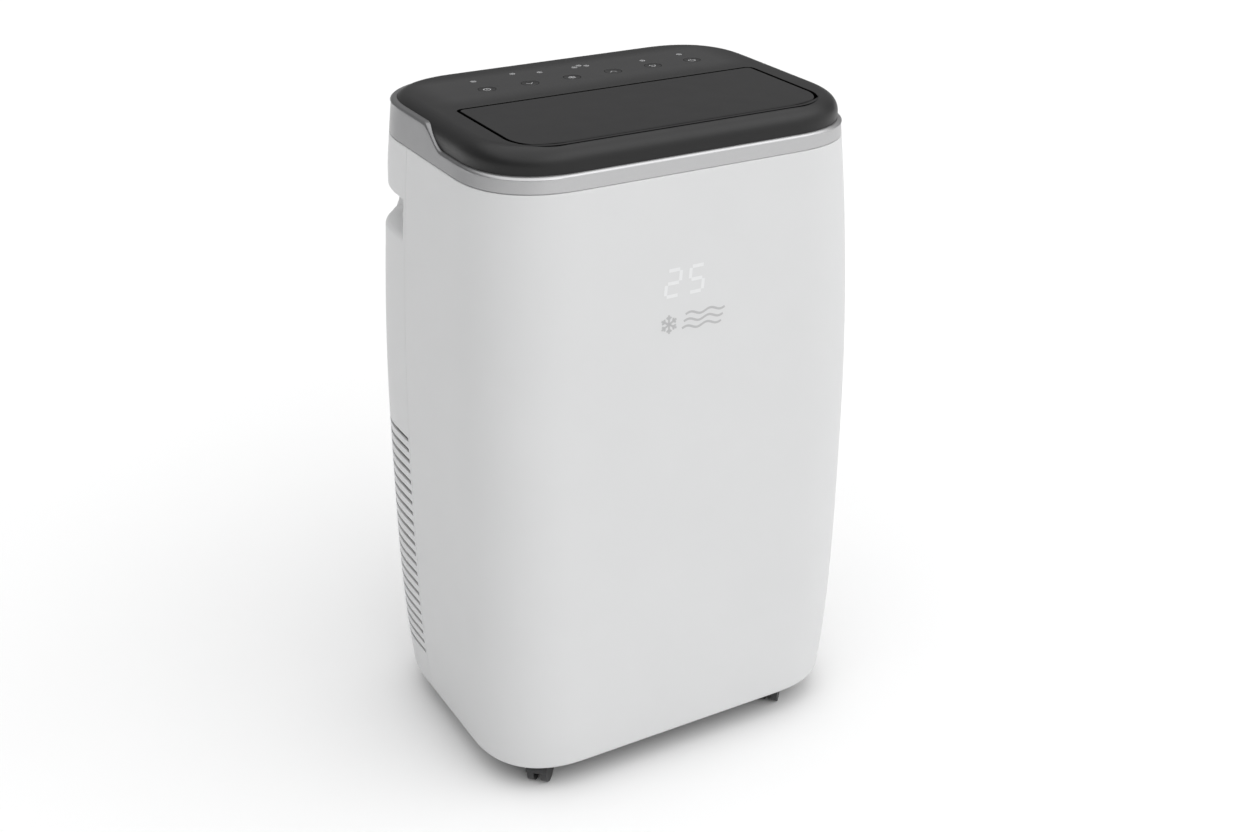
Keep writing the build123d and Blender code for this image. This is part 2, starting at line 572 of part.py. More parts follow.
with BuildPart() as lower_blower:
    plane = Plane(origin=(0, LOWER_HOUSING_Y1, 0), x_dir=(1, 0, 0), z_dir=(0, -1, 0))
    x0, x1 = EXHAUST_X - 80, EXHAUST_X + 80
    with BuildSketch(plane):
        add(blower_profile(LOWER_FAN_X, LOWER_FAN_Z, LOWER_SCROLL_R, x0, x1, DECK_Z))
    extrude(amount=LOWER_HOUSING_Y1 - LOWER_HOUSING_Y0)
    with BuildSketch(plane.offset(SHEET)):
        inside = (LOWER_SCROLL_R - SHEET, x0 + SHEET, x1 - SHEET, DECK_Z - SHEET)
        add(blower_profile(LOWER_FAN_X, LOWER_FAN_Z, *inside))
    extrude(amount=LOWER_HOUSING_Y1 - LOWER_HOUSING_Y0 - 2 * SHEET, mode=Mode.SUBTRACT)
    rod(62, (LOWER_FAN_X, 36, LOWER_FAN_Z), (LOWER_FAN_X, 44, LOWER_FAN_Z), Mode.SUBTRACT)
    # the exhaust opening, with a finger guard of rings and spokes across it
    rod(EXHAUST_R - 1, (EXHAUST_X, 36, EXHAUST_Z), (EXHAUST_X, 44, EXHAUST_Z), Mode.SUBTRACT)
    guard_y, spoke = LOWER_HOUSING_Y1 - SHEET, 1.2
    for ring in (18, 36, 54):
        with BuildSketch(Plane(origin=(EXHAUST_X, guard_y, EXHAUST_Z), z_dir=(0, 1, 0))):
            Circle(ring)
            Circle(ring - 2, mode=Mode.SUBTRACT)
        extrude(amount=SHEET)
    x0, x1, z0, z1 = EXHAUST_X - EXHAUST_R, EXHAUST_X + EXHAUST_R, EXHAUST_Z - EXHAUST_R, EXHAUST_Z + EXHAUST_R
    block(EXHAUST_X - spoke, EXHAUST_X + spoke, guard_y, LOWER_HOUSING_Y1, z0, z1)
    block(x0, x1, guard_y, LOWER_HOUSING_Y1, EXHAUST_Z - spoke, EXHAUST_Z + spoke)
    rod(SHAFT_R + 2, (LOWER_FAN_X, -24, LOWER_FAN_Z), (LOWER_FAN_X, -16, LOWER_FAN_Z), Mode.SUBTRACT)
    # feet down to the base pan
    for x in (LOWER_FAN_X - 50, LOWER_FAN_X + 50):
        block(x - 6, x + 6, 2, 18, PAN_TOP, 90)
    wheel_room = LOWER_WHEEL_R + 6
    rod(wheel_room, (LOWER_FAN_X, -17, LOWER_FAN_Z), (LOWER_FAN_X, 37, LOWER_FAN_Z), Mode.SUBTRACT)

lower_fan = fan_wheel(LOWER_FAN_X, -14, 34, LOWER_FAN_Z, LOWER_WHEEL_R, 28, -20)

with BuildPart() as lower_fan_motor:
    rod(MOTOR_R, (LOWER_FAN_X, -74, LOWER_FAN_Z), (LOWER_FAN_X, -20, LOWER_FAN_Z))
    fillet(lower_fan_motor.edges().group_by(Axis.Y)[0], 6)
    shaft_end = (LOWER_FAN_X, -34, LOWER_FAN_Z)
    rod(SHAFT_R + RUN_FIT, shaft_end, (LOWER_FAN_X, -19, LOWER_FAN_Z), Mode.SUBTRACT)

with BuildPart() as upper_blower:
    plane = Plane(origin=(0, UPPER_HOUSING_Y1, 0), x_dir=(1, 0, 0), z_dir=(0, -1, 0))
    x0, x1 = UPPER_FAN_X - UPPER_SCROLL_R, UPPER_FAN_X + UPPER_SCROLL_R
    with BuildSketch(plane):
        add(blower_profile(UPPER_FAN_X, UPPER_FAN_Z, UPPER_SCROLL_R, x0, x1, BLOWER_TOP))
    extrude(amount=UPPER_HOUSING_Y1 - UPPER_HOUSING_Y0)
    with BuildSketch(plane.offset(SHEET)):
        inside = (UPPER_SCROLL_R - SHEET, x0 + SHEET, x1 - SHEET, BLOWER_TOP + 5)
        add(blower_profile(UPPER_FAN_X, UPPER_FAN_Z, *inside))
    extrude(amount=UPPER_HOUSING_Y1 - UPPER_HOUSING_Y0 - 2 * SHEET, mode=Mode.SUBTRACT)
    rod(
        66, (UPPER_FAN_X, UPPER_HOUSING_Y1 - 4, UPPER_FAN_Z),
        (UPPER_FAN_X, UPPER_HOUSING_Y1 + 4, UPPER_FAN_Z), Mode.SUBTRACT,
    )
    # feet down to the deck
    for x in (UPPER_FAN_X - 52, UPPER_FAN_X + 52):
        block(x - 6, x + 6, -90, -70, DECK_TOP, 448)
    rod(
        UPPER_WHEEL_R + 4, (UPPER_FAN_X, UPPER_HOUSING_Y0 + 3, UPPER_FAN_Z),
        (UPPER_FAN_X, UPPER_HOUSING_Y1 - 3, UPPER_FAN_Z), Mode.SUBTRACT,
    )

upper_fan = fan_wheel(UPPER_FAN_X, -96, -34, UPPER_FAN_Z, UPPER_WHEEL_R, 30, -102)

with BuildPart() as upper_fan_motor:
    rod(MOTOR_R, (UPPER_FAN_X, -120, UPPER_FAN_Z), (UPPER_FAN_X, -99, UPPER_FAN_Z))
    fillet(upper_fan_motor.edges().group_by(Axis.Y)[-1], 4)
    shaft_end = (UPPER_FAN_X, -110, UPPER_FAN_Z)
    rod(SHAFT_R + RUN_FIT, shaft_end, (UPPER_FAN_X, -98, UPPER_FAN_Z), Mode.SUBTRACT)

with BuildPart() as exhaust_collar:
    rod(EXHAUST_R + 3, (EXHAUST_X, LOWER_HOUSING_Y1, EXHAUST_Z), (EXHAUST_X, 158.8, EXHAUST_Z))
    rod(EXHAUST_R, (EXHAUST_X, LOWER_HOUSING_Y1 - 1, EXHAUST_Z), (EXHAUST_X, 160, EXHAUST_Z), Mode.SUBTRACT)

# ---------------------------------------------------------------- display behind the front panel
with BuildPart() as display_board:
    block(-50, 28, -150.6, -149, 524, 578)
    for x in (-26, 2):
        block(x - 11, x + 11, -152.4, -150.6, 535, 567)

with BuildPart() as casing_screws:
    for x, z in SCREW_PLACES:
        wall_y = HALF_DEPTH - barrel_inset(z) / 2
        rod(1.7, (x, wall_y - 9, z), (x, wall_y - 2.8, z))

# ---------------------------------------------------------------- castors
castors = {}
for number, (x, y) in enumerate(
    ((-CASTOR_X, -CASTOR_Y), (CASTOR_X, -CASTOR_Y), (-CASTOR_X, CASTOR_Y), (CASTOR_X, CASTOR_Y)), 1
):
    heading = radians(CASTOR_HEADING)
    roll = Vector(cos(heading), sin(heading), 0)
    axle = Vector(-sin(heading), cos(heading), 0)
    stem = Vector(x, y, 0)
    hub = stem + roll * CASTOR_TRAIL + Vector(0, 0, WHEEL_R)
    with BuildPart() as housing:
        rod(10, tuple(hub - axle * WEB_T / 2), tuple(hub + axle * WEB_T / 2))
        with BuildSketch(Plane(origin=hub + axle * HOOD_W / 2, x_dir=roll, z_dir=-axle)):
            Circle(HOOD_R)
            with Locations((0, -WHEEL_R + 2)):
                Rectangle(60, 2 * WHEEL_R, mode=Mode.SUBTRACT)
        extrude(amount=HOOD_W)
        rod(9, tuple(stem + Vector(0, 0, 21)), tuple(stem + Vector(0, 0, PAN_Z - 0.4)))
        rod(STEM_R, tuple(stem + Vector(0, 0, 30)), tuple(stem + Vector(0, 0, 65)))
        for side in (-1, 1):
            start = hub + axle * side * (WEB_T / 2)
            end = hub + axle * side * 14
            rod(WHEEL_R + 0.5, tuple(start), tuple(end), Mode.SUBTRACT)
        rod(AXLE_R + 0.05, tuple(hub - axle * 8), tuple(hub + axle * 8), Mode.SUBTRACT)
    castors[f"castor_housing_{number}"] = housing
    with BuildPart() as wheel:
        rod(AXLE_R, tuple(hub - axle * 10), tuple(hub + axle * 10))
        for side in (-1, 1):
            start = hub + axle * side * (WEB_T / 2 + 0.4)
            end = hub + axle * side * (WEB_T / 2 + 0.4 + WHEEL_T)
            rod(WHEEL_R, tuple(start), tuple(end))
    castors[f"castor_wheel_{number}"] = wheel

# ---------------------------------------------------------------- one file for each piece
pieces = {
    "base_pan": base_pan,
    "front_panel": front_panel,
    "rear_panel": rear_panel,
    "trim_ring": trim_ring,
    "top_cover": top_cover,
    "outlet_flap": outlet_flap,
    "flap_motor": flap_motor,
    "control_board": control_board,
    "indicator_lights": indicator_lights,
    "outlet_duct": outlet_duct,
    "vane_link": vane_link,
    "chassis_posts": chassis_posts,
    "deck_tray": deck_tray,
    "drain_plug_lower": drain_plug_lower,
    "drain_plug_upper": drain_plug_upper,
    "cord_gland": cord_gland,
    "electrical_box": electrical_box,
    "compressor": compressor,
    "compressor_mounts": compressor_mounts,
    "evaporator": evaporator,
    "condenser": condenser,
    "refrigerant_pipes": refrigerant_pipes,
    "lower_blower": lower_blower,
    "lower_fan": lower_fan,
    "lower_fan_motor": lower_fan_motor,
    "upper_blower": upper_blower,
    "upper_fan": upper_fan,
    "upper_fan_motor": upper_fan_motor,
    "exhaust_collar": exhaust_collar,
    "lower_grille": lower_grille,
    "upper_grille": upper_grille,
    "lower_filter": lower_filter,
    "upper_filter": upper_filter,
    "display_board": display_board,
    "casing_screws": casing_screws,
    **buttons,
    **vanes,
    **castors,
}
for name, piece in pieces.items():
    piece.part.label = name
    export_step(piece.part, f"parts/{name}.step")
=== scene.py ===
from math import cos, hypot, pi, radians, sin

import bmesh
import bpy
from mathutils import Matrix, Vector


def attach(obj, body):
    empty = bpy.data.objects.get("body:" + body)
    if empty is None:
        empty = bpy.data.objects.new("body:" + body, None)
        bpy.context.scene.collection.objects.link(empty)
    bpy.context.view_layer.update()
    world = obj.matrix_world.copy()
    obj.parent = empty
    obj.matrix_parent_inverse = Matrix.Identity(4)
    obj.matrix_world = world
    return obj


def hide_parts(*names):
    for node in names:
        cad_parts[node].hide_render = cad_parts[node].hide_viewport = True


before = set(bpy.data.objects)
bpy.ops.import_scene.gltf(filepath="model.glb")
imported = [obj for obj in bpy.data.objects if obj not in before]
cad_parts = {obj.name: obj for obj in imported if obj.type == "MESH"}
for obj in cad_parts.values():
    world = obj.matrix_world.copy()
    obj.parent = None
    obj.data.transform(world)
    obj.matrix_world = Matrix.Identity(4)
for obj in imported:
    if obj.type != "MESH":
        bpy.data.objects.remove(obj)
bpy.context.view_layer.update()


# ---------------------------------------------------------------- front shell
# The front of the casing is one deep white ABS moulding that wraps both front corners and
# ends half way along the sides. Its walls swell gently at the waist. It screws to the base pan.


class Tone:
    """One output of a finish's nodes. Differences and products of tones add Math nodes."""

    def __init__(self, finish, socket):
        self.finish = finish
        self.socket = socket

    def math(self, operation, first, second):
        return self.finish.node("ShaderNodeMath", {"operation": operation}, {0: first, 1: second})

    def __sub__(self, other):
        return self.math("SUBTRACT", self, other)

    def __rsub__(self, other):
        return self.math("SUBTRACT", other, self)

    def __mul__(self, other):
        return self.math("MULTIPLY", self, other)

    def __rmul__(self, other):
        return self.math("MULTIPLY", other, self)


class Finish:
    """A surface finish under construction: a material with a Principled shader and the nodes that feed it."""

    def __init__(self, name, **constants):
        self.material = bpy.data.materials.new(name)
        self.material.use_nodes = True
        self.tree = self.material.node_tree
        self.shader = self.tree.nodes["Principled BSDF"]
        for socket, value in constants.items():
            self.shader.inputs[socket.replace("_", " ")].default_value = value

    def node(self, kind, settings=None, inputs=None, output=0):
        made = self.tree.nodes.new(kind)
        for name, value in (settings or {}).items():
            setattr(made, name, value)
        for name, value in (inputs or {}).items():
            if isinstance(value, Tone):
                self.tree.links.new(value.socket, made.inputs[name])
            else:
                made.inputs[name].default_value = value
        return Tone(self, made.outputs[output])

    def feed(self, **sockets):
        for name, tone in sockets.items():
            self.tree.links.new(tone.socket, self.shader.inputs[name.replace("_", " ")])
        return self

    def noise(self, scale, detail=3.0):
        here = self.node("ShaderNodeTexCoord", output="Object")
        return self.node("ShaderNodeTexNoise", None, {"Vector": here, "Scale": scale, "Detail": detail})

    def spread(self, tone, low, high):
        """A tone of 0 to 1 taken to the range from low to high."""
        return self.node("ShaderNodeMapRange", None, {"Value": tone, "To Min": low, "To Max": high})

    def blend(self, amount, first, second):
        return self.node(
            "ShaderNodeMix", {"data_type": "RGBA"}, {"Factor": amount, 6: (*first, 1.0), 7: (*second, 1.0)}, 2
        )

    def grain(self, height, distance):
        """Relief that a tone of 0 to 1 raises by a distance."""
        sizes = {"Height": height, "Distance": distance, "Strength": 1.0}
        return self.feed(Normal=self.node("ShaderNodeBump", None, sizes))


def moulded_plastic(name, dark, light, rough, grain_size, depth, **constants):
    """Moulded plastic: a fine spark-eroded grain, slight cloudiness and uneven sheen."""
    finish = Finish(name, **constants)
    cloud = finish.noise(9.0, 4.0)
    finish.feed(Base_Color=finish.blend(cloud, dark, light))
    finish.feed(Roughness=finish.spread(finish.noise(26.0), rough - 0.05, rough + 0.05))
    return finish.grain(finish.noise(grain_size, 2.0), depth)


casing_white = moulded_plastic(
    "casing_white", (0.60, 0.603, 0.606), (0.628, 0.631, 0.634), 0.45, 1700.0, 0.00004, Coat_Weight=0.08
)

HALF_WIDTH, HALF_DEPTH, CORNER = 0.220, 0.1593, 0.091
WAIST, CASE_BOTTOM, CASE_TOP = 0.3317, 0.028, 0.655
SEAM_Y = 0.043
SEAM_GAP = 0.0003
WALL = 0.0025
CORNER_POWER = 2 / 2.43  # a superellipse, a little squarer than a circle
TOP_INSET, TOP_REACH, TOP_POWER = 0.0159, 0.3236, 2
FOOT_INSET, FOOT_REACH, FOOT_POWER = 0.0094, 0.3038, 3.5


def barrel_inset(z):
    """How far the wall has drawn in from the waist at height z."""
    if z > WAIST:
        return TOP_INSET * ((z - WAIST) / TOP_REACH) ** TOP_POWER
    return FOOT_INSET * ((WAIST - z) / FOOT_REACH) ** FOOT_POWER


class Plan:
    """Stations along the casing's outline: side walls, soft corners and a flat, run counterclockwise."""

    def __init__(self, facing, seam_y, side_steps, corner_steps, face_steps):
        self.facing, self.seam_y = facing, seam_y
        first = facing  # the front shell starts on the left, the rear shell on the right
        self.stations = [("side", first, i / side_steps) for i in range(side_steps)]
        self.stations += [("corner", first, i / corner_steps) for i in range(corner_steps)]
        self.stations += [("face", first, i / face_steps) for i in range(face_steps)]
        self.stations += [("corner", -first, 1 - i / corner_steps) for i in range(corner_steps)]
        self.stations += [("side", -first, 1 - i / side_steps) for i in range(side_steps + 1)]

    def at(self, index, half_x, half_y, corner=CORNER):
        kind, side, t = self.stations[index]
        if kind == "side":
            end = self.facing * (half_y - corner)
            return side * half_x, self.seam_y + (end - self.seam_y) * t
        if kind == "corner":
            turn = t * pi / 2
            x = half_x - corner + corner * max(cos(turn), 0.0) ** CORNER_POWER
            y = half_y - corner + corner * sin(turn) ** CORNER_POWER
            return side * x, self.facing * y
        return side * (half_x - corner) * (1 - 2 * t), self.facing * half_y


def grid_mesh(name, columns, rows, shape, closed=False):
    """A sheet of columns by rows quads whose points are set by shape(column, row)."""
    sheet = bmesh.new()
    bmesh.ops.create_grid(sheet, x_segments=columns, y_segments=rows, size=1.0)
    for vert in sheet.verts:
        column = round((vert.co.x + 1) / 2 * columns)
        row = round((vert.co.y + 1) / 2 * rows)
        vert.co = shape(column, row)
    if closed:
        bmesh.ops.remove_doubles(sheet, verts=sheet.verts, dist=1e-6)
    return finished_mesh(name, sheet)


SHARP = radians(35)


def shade(shape, mesh):
    """Shades a bmesh smooth but for its sharp edges, and writes it to a mesh."""
    for face in shape.faces:
        face.smooth = True
    for edge in shape.edges:
        edge.smooth = len(edge.link_faces) == 2 and edge.calc_face_angle(0) < SHARP
    shape.to_mesh(mesh)
    shape.free()


def finished_mesh(name, shape):
    """The bmesh as a new object of its own."""
    mesh = bpy.data.meshes.new(name)
    shape.normal_update()
    shade(shape, mesh)
    piece = bpy.data.objects.new(name, mesh)
    bpy.context.scene.collection.objects.link(piece)
    return piece


def settle(piece, finish, body, *nodes):
    """Gives the piece its finish and the body it moves with, and hides the CAD nodes it stands for."""
    piece.data.materials.clear()
    piece.data.materials.append(finish.material)
    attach(piece, body)
    if nodes:
        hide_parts(*nodes)


def bake_modifiers(piece):
    """Turns the piece's modifiers into its mesh."""
    graph = bpy.context.evaluated_depsgraph_get()
    mesh = bpy.data.meshes.new_from_object(piece.evaluated_get(graph))
    piece.modifiers.clear()
    piece.data = mesh


FINE_FROM = 0.555  # the wall's rows stand closer above this height, where the hand recess is


def wall_rows(fine_rows=30):
    """(height, inset) of each row of a shell: turned-in foot, rounded bottom edge, wall and rounded top."""
    edge = 0.005
    rows = [(CASE_BOTTOM, 0.0052), (CASE_BOTTOM, 0.0051)]
    for i in range(8):
        turn = i / 7 * pi / 2
        rows.append((CASE_BOTTOM + edge * (1 - cos(turn)), edge * (1 - sin(turn))))
    rows += [(0.040 + 0.0102 * i, 0.0) for i in range(50)]
    rows += [(FINE_FROM + 0.002 * i, 0.0) for i in range(fine_rows)]
    rows += [(0.622, 0.0), (0.632, 0.0), (0.642, 0.0), (0.650, 0.0), (0.6535, 0.0)]
    rows += [(0.6543, 0.0002), (0.6548, 0.0008), (0.6549, 0.0030)]
    return rows


def wall_point(plan, column, z, inset):
    """Where a column of the wall stands at a height; the sides draw in twice as much as front and back."""
    drawn = barrel_inset(z)
    return plan.at(column, HALF_WIDTH - (drawn + inset), HALF_DEPTH - drawn / 2 - inset, CORNER - inset)


front_plan = Plan(-1, SEAM_Y - SEAM_GAP / 2, 14, 22, 30)
front_rows = wall_rows()


def front_shape(column, row):
    z, inset = front_rows[row]
    x, y = wall_point(front_plan, column, z, inset)
    return x, y, z


front_shell = grid_mesh("front_shell", len(front_plan.stations) - 1, len(front_rows) - 1, front_shape)
wall = front_shell.modifiers.new("wall", "SOLIDIFY")
wall.thickness = WALL
wall.offset = -1
settle(front_shell, casing_white, "casing", "front_panel")

# ---------------------------------------------------------------- rear shell
# The rear half of the casing, the same white ABS, screwed to the front along its edge. Each side has a
# bank of cooling slots and a finger recess that runs on round the rear corner, and the back has two
# filter windows and the round outlets.

HANDLE_FLOOR_X = 0.189
HANDLE_LOW, HANDLE_HIGH = 0.564, 0.599
HANDLE_START, HANDLE_END, HANDLE_RUNOUT = 0.049, 0.143, 0.011
HANDLE_CORNER_DEPTH = 0.0165
HANDLE_ROWS = 32
SLOT_COUNT, SLOT_PITCH, SLOT_HEIGHT, SLOT_LOW = 22, 0.0126, 0.0048, 0.078
SLOT_FRONT, SLOT_BACK = 0.0465, 0.120

rear_plan = Plan(1, SEAM_Y + SEAM_GAP / 2, 40, 40, 30)
rear_rows = wall_rows(HANDLE_ROWS)
recess_start = [z for z, inset in rear_rows].index(FINE_FROM)


def smooth_step(value):
    t = min(max(value, 0.0), 1.0)
    return t * t * (3 - 2 * t)


def handle_section(depth):
    """The recess's outline from the lower lip to the upper one, as (depth, height) points."""
    lip = 0.0055 * min(1.0, depth / 0.016)
    heel = 0.004 * min(1.0, depth / 0.016)
    low, high = HANDLE_LOW, HANDLE_HIGH
    points = []
    for i in range(8):
        turn = i / 7 * pi / 2
        points.append((lip * (1 - cos(turn)), low - lip * (1 - sin(turn))))
    for i in range(8):
        turn = i / 7 * pi / 2
        points.append((depth - heel * (1 - sin(turn)), low + 0.0015 + heel * (1 - cos(turn))))
    slope_top = high - 0.0105
    for i in range(8):
        turn = i / 7 * pi / 2
        points.append((depth - heel * (1 - cos(turn)), slope_top - heel * (1 - sin(turn))))
    for i in range(8):
        turn = i / 7 * pi / 2
        points.append((lip * (1 - sin(turn)), high + lip * (1 - cos(turn))))
    return points


def wall_facing(plan, column, z):
    """Outward direction of the plain wall, from the columns on either side."""
    x0, y0 = wall_point(plan, max(column - 1, 0), z, 0.0)
    x1, y1 = wall_point(plan, min(column + 1, len(plan.stations) - 1), z, 0.0)
    length = hypot(x1 - x0, y1 - y0)
    across, along = (y1 - y0) / length, (x0 - x1) / length
    turned = 1 if across * (x0 + x1) + along * (y0 + y1) > 0 else -1
    return turned * across, turned * along


def rear_shape(column, row):
    z, inset = rear_rows[row]
    x, y = wall_point(rear_plan, column, z, inset)
    index = row - recess_start
    if not 0 <= index < HANDLE_ROWS:
        return x, y, z
    reach = smooth_step((y - HANDLE_START + 0.0012) / 0.0028)
    runout = 1 - smooth_step((y - HANDLE_END) / HANDLE_RUNOUT + 1)
    depth = max(abs(x) - HANDLE_FLOOR_X, HANDLE_CORNER_DEPTH) * runout
    if depth * reach == 0.0:
        return x, y, z
    inward, height = handle_section(depth)[index]
    settled = smooth_step(depth / 0.006)
    facing_x, facing_y = wall_facing(rear_plan, column, z)
    x -= facing_x * inward * reach
    y -= facing_y * inward * reach
    return x, y, z + (height - z) * reach * settled


def prism(shape, outline, axis, start, end):
    """Adds a straight bar to a bmesh: an outline of (u, v) points carried along an axis."""
    corners = []
    for u, v in outline:
        at = {"x": (start, u, v), "y": (u, start, v), "z": (u, v, start)}[axis]
        corners.append(shape.verts.new(at))
    face = shape.faces.new(corners)
    along = {"x": (end - start, 0, 0), "y": (0, end - start, 0), "z": (0, 0, end - start)}[axis]
    grown = bmesh.ops.extrude_face_region(shape, geom=[face])
    moved = [item for item in grown["geom"] if isinstance(item, bmesh.types.BMVert)]
    bmesh.ops.translate(shape, verts=moved, vec=along)


def round_outline(x, z, radius, steps=64):
    turns = [2 * pi * i / steps for i in range(steps)]
    return [(x + radius * cos(turn), z + radius * sin(turn)) for turn in turns]


def soft_rectangle(x, z, half_x, half_z, radii, steps=8):
    """A rectangle with round corners as (x, z) points, counterclockwise from the far right corner."""
    points = []
    for corner, (sx, sz) in enumerate(((1, 1), (-1, 1), (-1, -1), (1, -1))):
        radius = radii[corner] if isinstance(radii, tuple) else radii
        for i in range(steps + 1):
            turn = (corner + i / steps) * pi / 2
            centre_x, centre_z = x + sx * (half_x - radius), z + sz * (half_z - radius)
            points.append((centre_x + radius * cos(turn), centre_z + radius * sin(turn)))
    return points


def cut(piece, cutters, operation="DIFFERENCE"):
    """Takes the shapes in a bmesh out of a piece, and keeps crisp edges where they cut."""
    bmesh.ops.recalc_face_normals(cutters, faces=cutters.faces)
    tool_mesh = bpy.data.meshes.new("tool")
    cutters.to_mesh(tool_mesh)
    cutters.free()
    tool = bpy.data.objects.new("tool", tool_mesh)
    bpy.context.scene.collection.objects.link(tool)
    taken = piece.modifiers.new("cut", "BOOLEAN")
    taken.object = tool
    taken.solver = "EXACT"
    taken.operation = operation
    bake_modifiers(piece)
    bpy.data.objects.remove(tool)
    shape = bmesh.new()
    shape.from_mesh(piece.data)
    shade(shape, piece.data)


rear_shell = grid_mesh("rear_shell", len(rear_plan.stations) - 1, len(rear_rows) - 1, rear_shape)
wall = rear_shell.modifiers.new("wall", "SOLIDIFY")
wall.thickness = WALL
wall.offset = -1

EXHAUST_X, EXHAUST_Z, EXHAUST_R = 0.020, 0.320, 0.075
GRILLES = {"lower": (0.0, 0.158, 0.236, 0.160), "upper": (0.0, 0.550, 0.260, 0.160)}
DRAINS = [(0.0, 0.056), (-0.120, 0.428)]
GLAND_X, GLAND_Z = 0.132, 0.072
SCREWS = [(-0.110, 0.442), (0.110, 0.442), (-0.150, 0.060), (-0.140, 0.646), (0.140, 0.646), (0.0, 0.646)]

THROUGH_SIDES, THROUGH_BACK = (-0.24, 0.24), (0.125, 0.170)
COLLAR_FIT, DRAIN_R, GLAND_R, SCREW_R = 0.0044, 0.0106, 0.0090, 0.0018

openings = bmesh.new()
for i in range(SLOT_COUNT):
    middle, half_slot = (SLOT_FRONT + SLOT_BACK) / 2, (SLOT_BACK - SLOT_FRONT) / 2
    slot = soft_rectangle(middle, SLOT_LOW + i * SLOT_PITCH, half_slot, SLOT_HEIGHT / 2, 0.0012, 3)
    prism(openings, slot, "x", *THROUGH_SIDES)
for x, z, width, height in GRILLES.values():
    prism(openings, soft_rectangle(x, z, width / 2, height / 2, 0.008), "y", *THROUGH_BACK)
prism(openings, round_outline(EXHAUST_X, EXHAUST_Z, EXHAUST_R + COLLAR_FIT, 96), "y", *THROUGH_BACK)
for x, z in DRAINS:
    prism(openings, round_outline(x, z, DRAIN_R, 40), "y", *THROUGH_BACK)
prism(openings, round_outline(GLAND_X, GLAND_Z, GLAND_R, 40), "y", *THROUGH_BACK)
for x, z in SCREWS:
    prism(openings, round_outline(x, z, SCREW_R, 20), "y", *THROUGH_BACK)
cut(rear_shell, openings)
settle(rear_shell, casing_white, "casing", "rear_panel")

# ---------------------------------------------------------------- rear grilles and filters
# Each intake window is filled by a louvred panel moulded to the curve of the back. Its nylon filter
# is clipped behind it in a thin frame, and both pull straight out by the thumb notch.


def back_wall(z):
    return HALF_DEPTH - barrel_inset(z) / 2


filter_nylon = Finish("filter_nylon", Roughness=0.75)
here = filter_nylon.node("ShaderNodeTexCoord", output="Object")
upright = filter_nylon.node("ShaderNodeMapping", None, {"Vector": here, "Rotation": (pi / 2, 0.0, 0.0)})
weave_and_hole_shade = filter_nylon.node(
    "ShaderNodeTexBrick", {"offset": 0.0},
    {"Vector": upright, "Scale": 400.0, "Mortar Size": 0.12, "Brick Width": 0.5, "Row Height": 0.5},
    output=1,
)
# the cells between the threads are painted near black: painted shade for the dark inside seen through the
# mesh's openings
filter_nylon.feed(Base_Color=filter_nylon.blend(weave_and_hole_shade, (0.012, 0.013, 0.015), (0.16, 0.17, 0.19)))
filter_nylon.grain(weave_and_hole_shade, 0.0002)

GRILLE_FIT, LOUVRE_COUNT, LOUVRE_MARGIN, FILTER_Y = 0.0004, 11, 0.0116, 0.1458
THROUGH_PANEL = (0.12, 0.17)
OVERLAP = 1.05  # the panel starts larger than its outline, to be cut to it

for name, (x, z, width, height) in GRILLES.items():
    half_w, half_h = width / 2 - GRILLE_FIT, height / 2 - GRILLE_FIT

    def louvre_shape(column, row):
        at_z = z + half_h * (row / 20 - 1) * OVERLAP
        return x + half_w * (column / 20 - 1) * OVERLAP, back_wall(at_z), at_z

    panel = grid_mesh(f"{name}_louvres", 40, 40, louvre_shape)
    wall = panel.modifiers.new("wall", "SOLIDIFY")
    wall.thickness = WALL
    wall.offset = 1
    keep = bmesh.new()
    prism(keep, soft_rectangle(x, z, half_w, half_h, 0.0076), "y", *THROUGH_PANEL)
    cut(panel, keep, "INTERSECT")
    slots = bmesh.new()
    for i in range(LOUVRE_COUNT):
        slot_z = z + (i - 5) * SLOT_PITCH
        slot = soft_rectangle(x, slot_z, half_w - LOUVRE_MARGIN, SLOT_HEIGHT / 2, 0.0023, 5)
        prism(slots, slot, "y", *THROUGH_PANEL)
    prism(slots, soft_rectangle(x, z + half_h, 0.016, 0.005, 0.004, 5), "y", *THROUGH_PANEL)
    cut(panel, slots)
    settle(panel, casing_white, f"{name}_intake", f"{name}_grille")

    sheet = bmesh.new()
    bmesh.ops.create_grid(sheet, x_segments=24, y_segments=16, size=0.5)
    bmesh.ops.scale(sheet, vec=(width - 0.010, height - 0.010, 1.0), verts=sheet.verts)
    bmesh.ops.rotate(sheet, matrix=Matrix.Rotation(pi / 2, 3, "X"), verts=sheet.verts)
    bmesh.ops.translate(sheet, vec=(x, FILTER_Y, z), verts=sheet.verts)
    mesh_sheet = finished_mesh(f"{name}_mesh", sheet)
    skin = mesh_sheet.modifiers.new("cloth", "SOLIDIFY")
    skin.thickness = 0.0003
    settle(mesh_sheet, filter_nylon, f"{name}_intake")

# ---------------------------------------------------------------- trim ring
# A silver-painted band sits flush on the casing and frames the black top. It is low at the front,
# ramps up on both sides and stands high round the back, with a rolled lip along its top. It is held by
# clips on its inside.


def ease(finish, axis, start, end):
    """A tone that rises smoothly from 0 to 1 between two places along an axis."""
    here = finish.node("ShaderNodeTexCoord", output="Object")
    along = finish.node("ShaderNodeSeparateXYZ", None, {"Vector": here}, axis)
    return finish.node(
        "ShaderNodeMapRange", {"interpolation_type": "SMOOTHSTEP"},
        {"Value": along, "From Min": start, "From Max": end},
    )
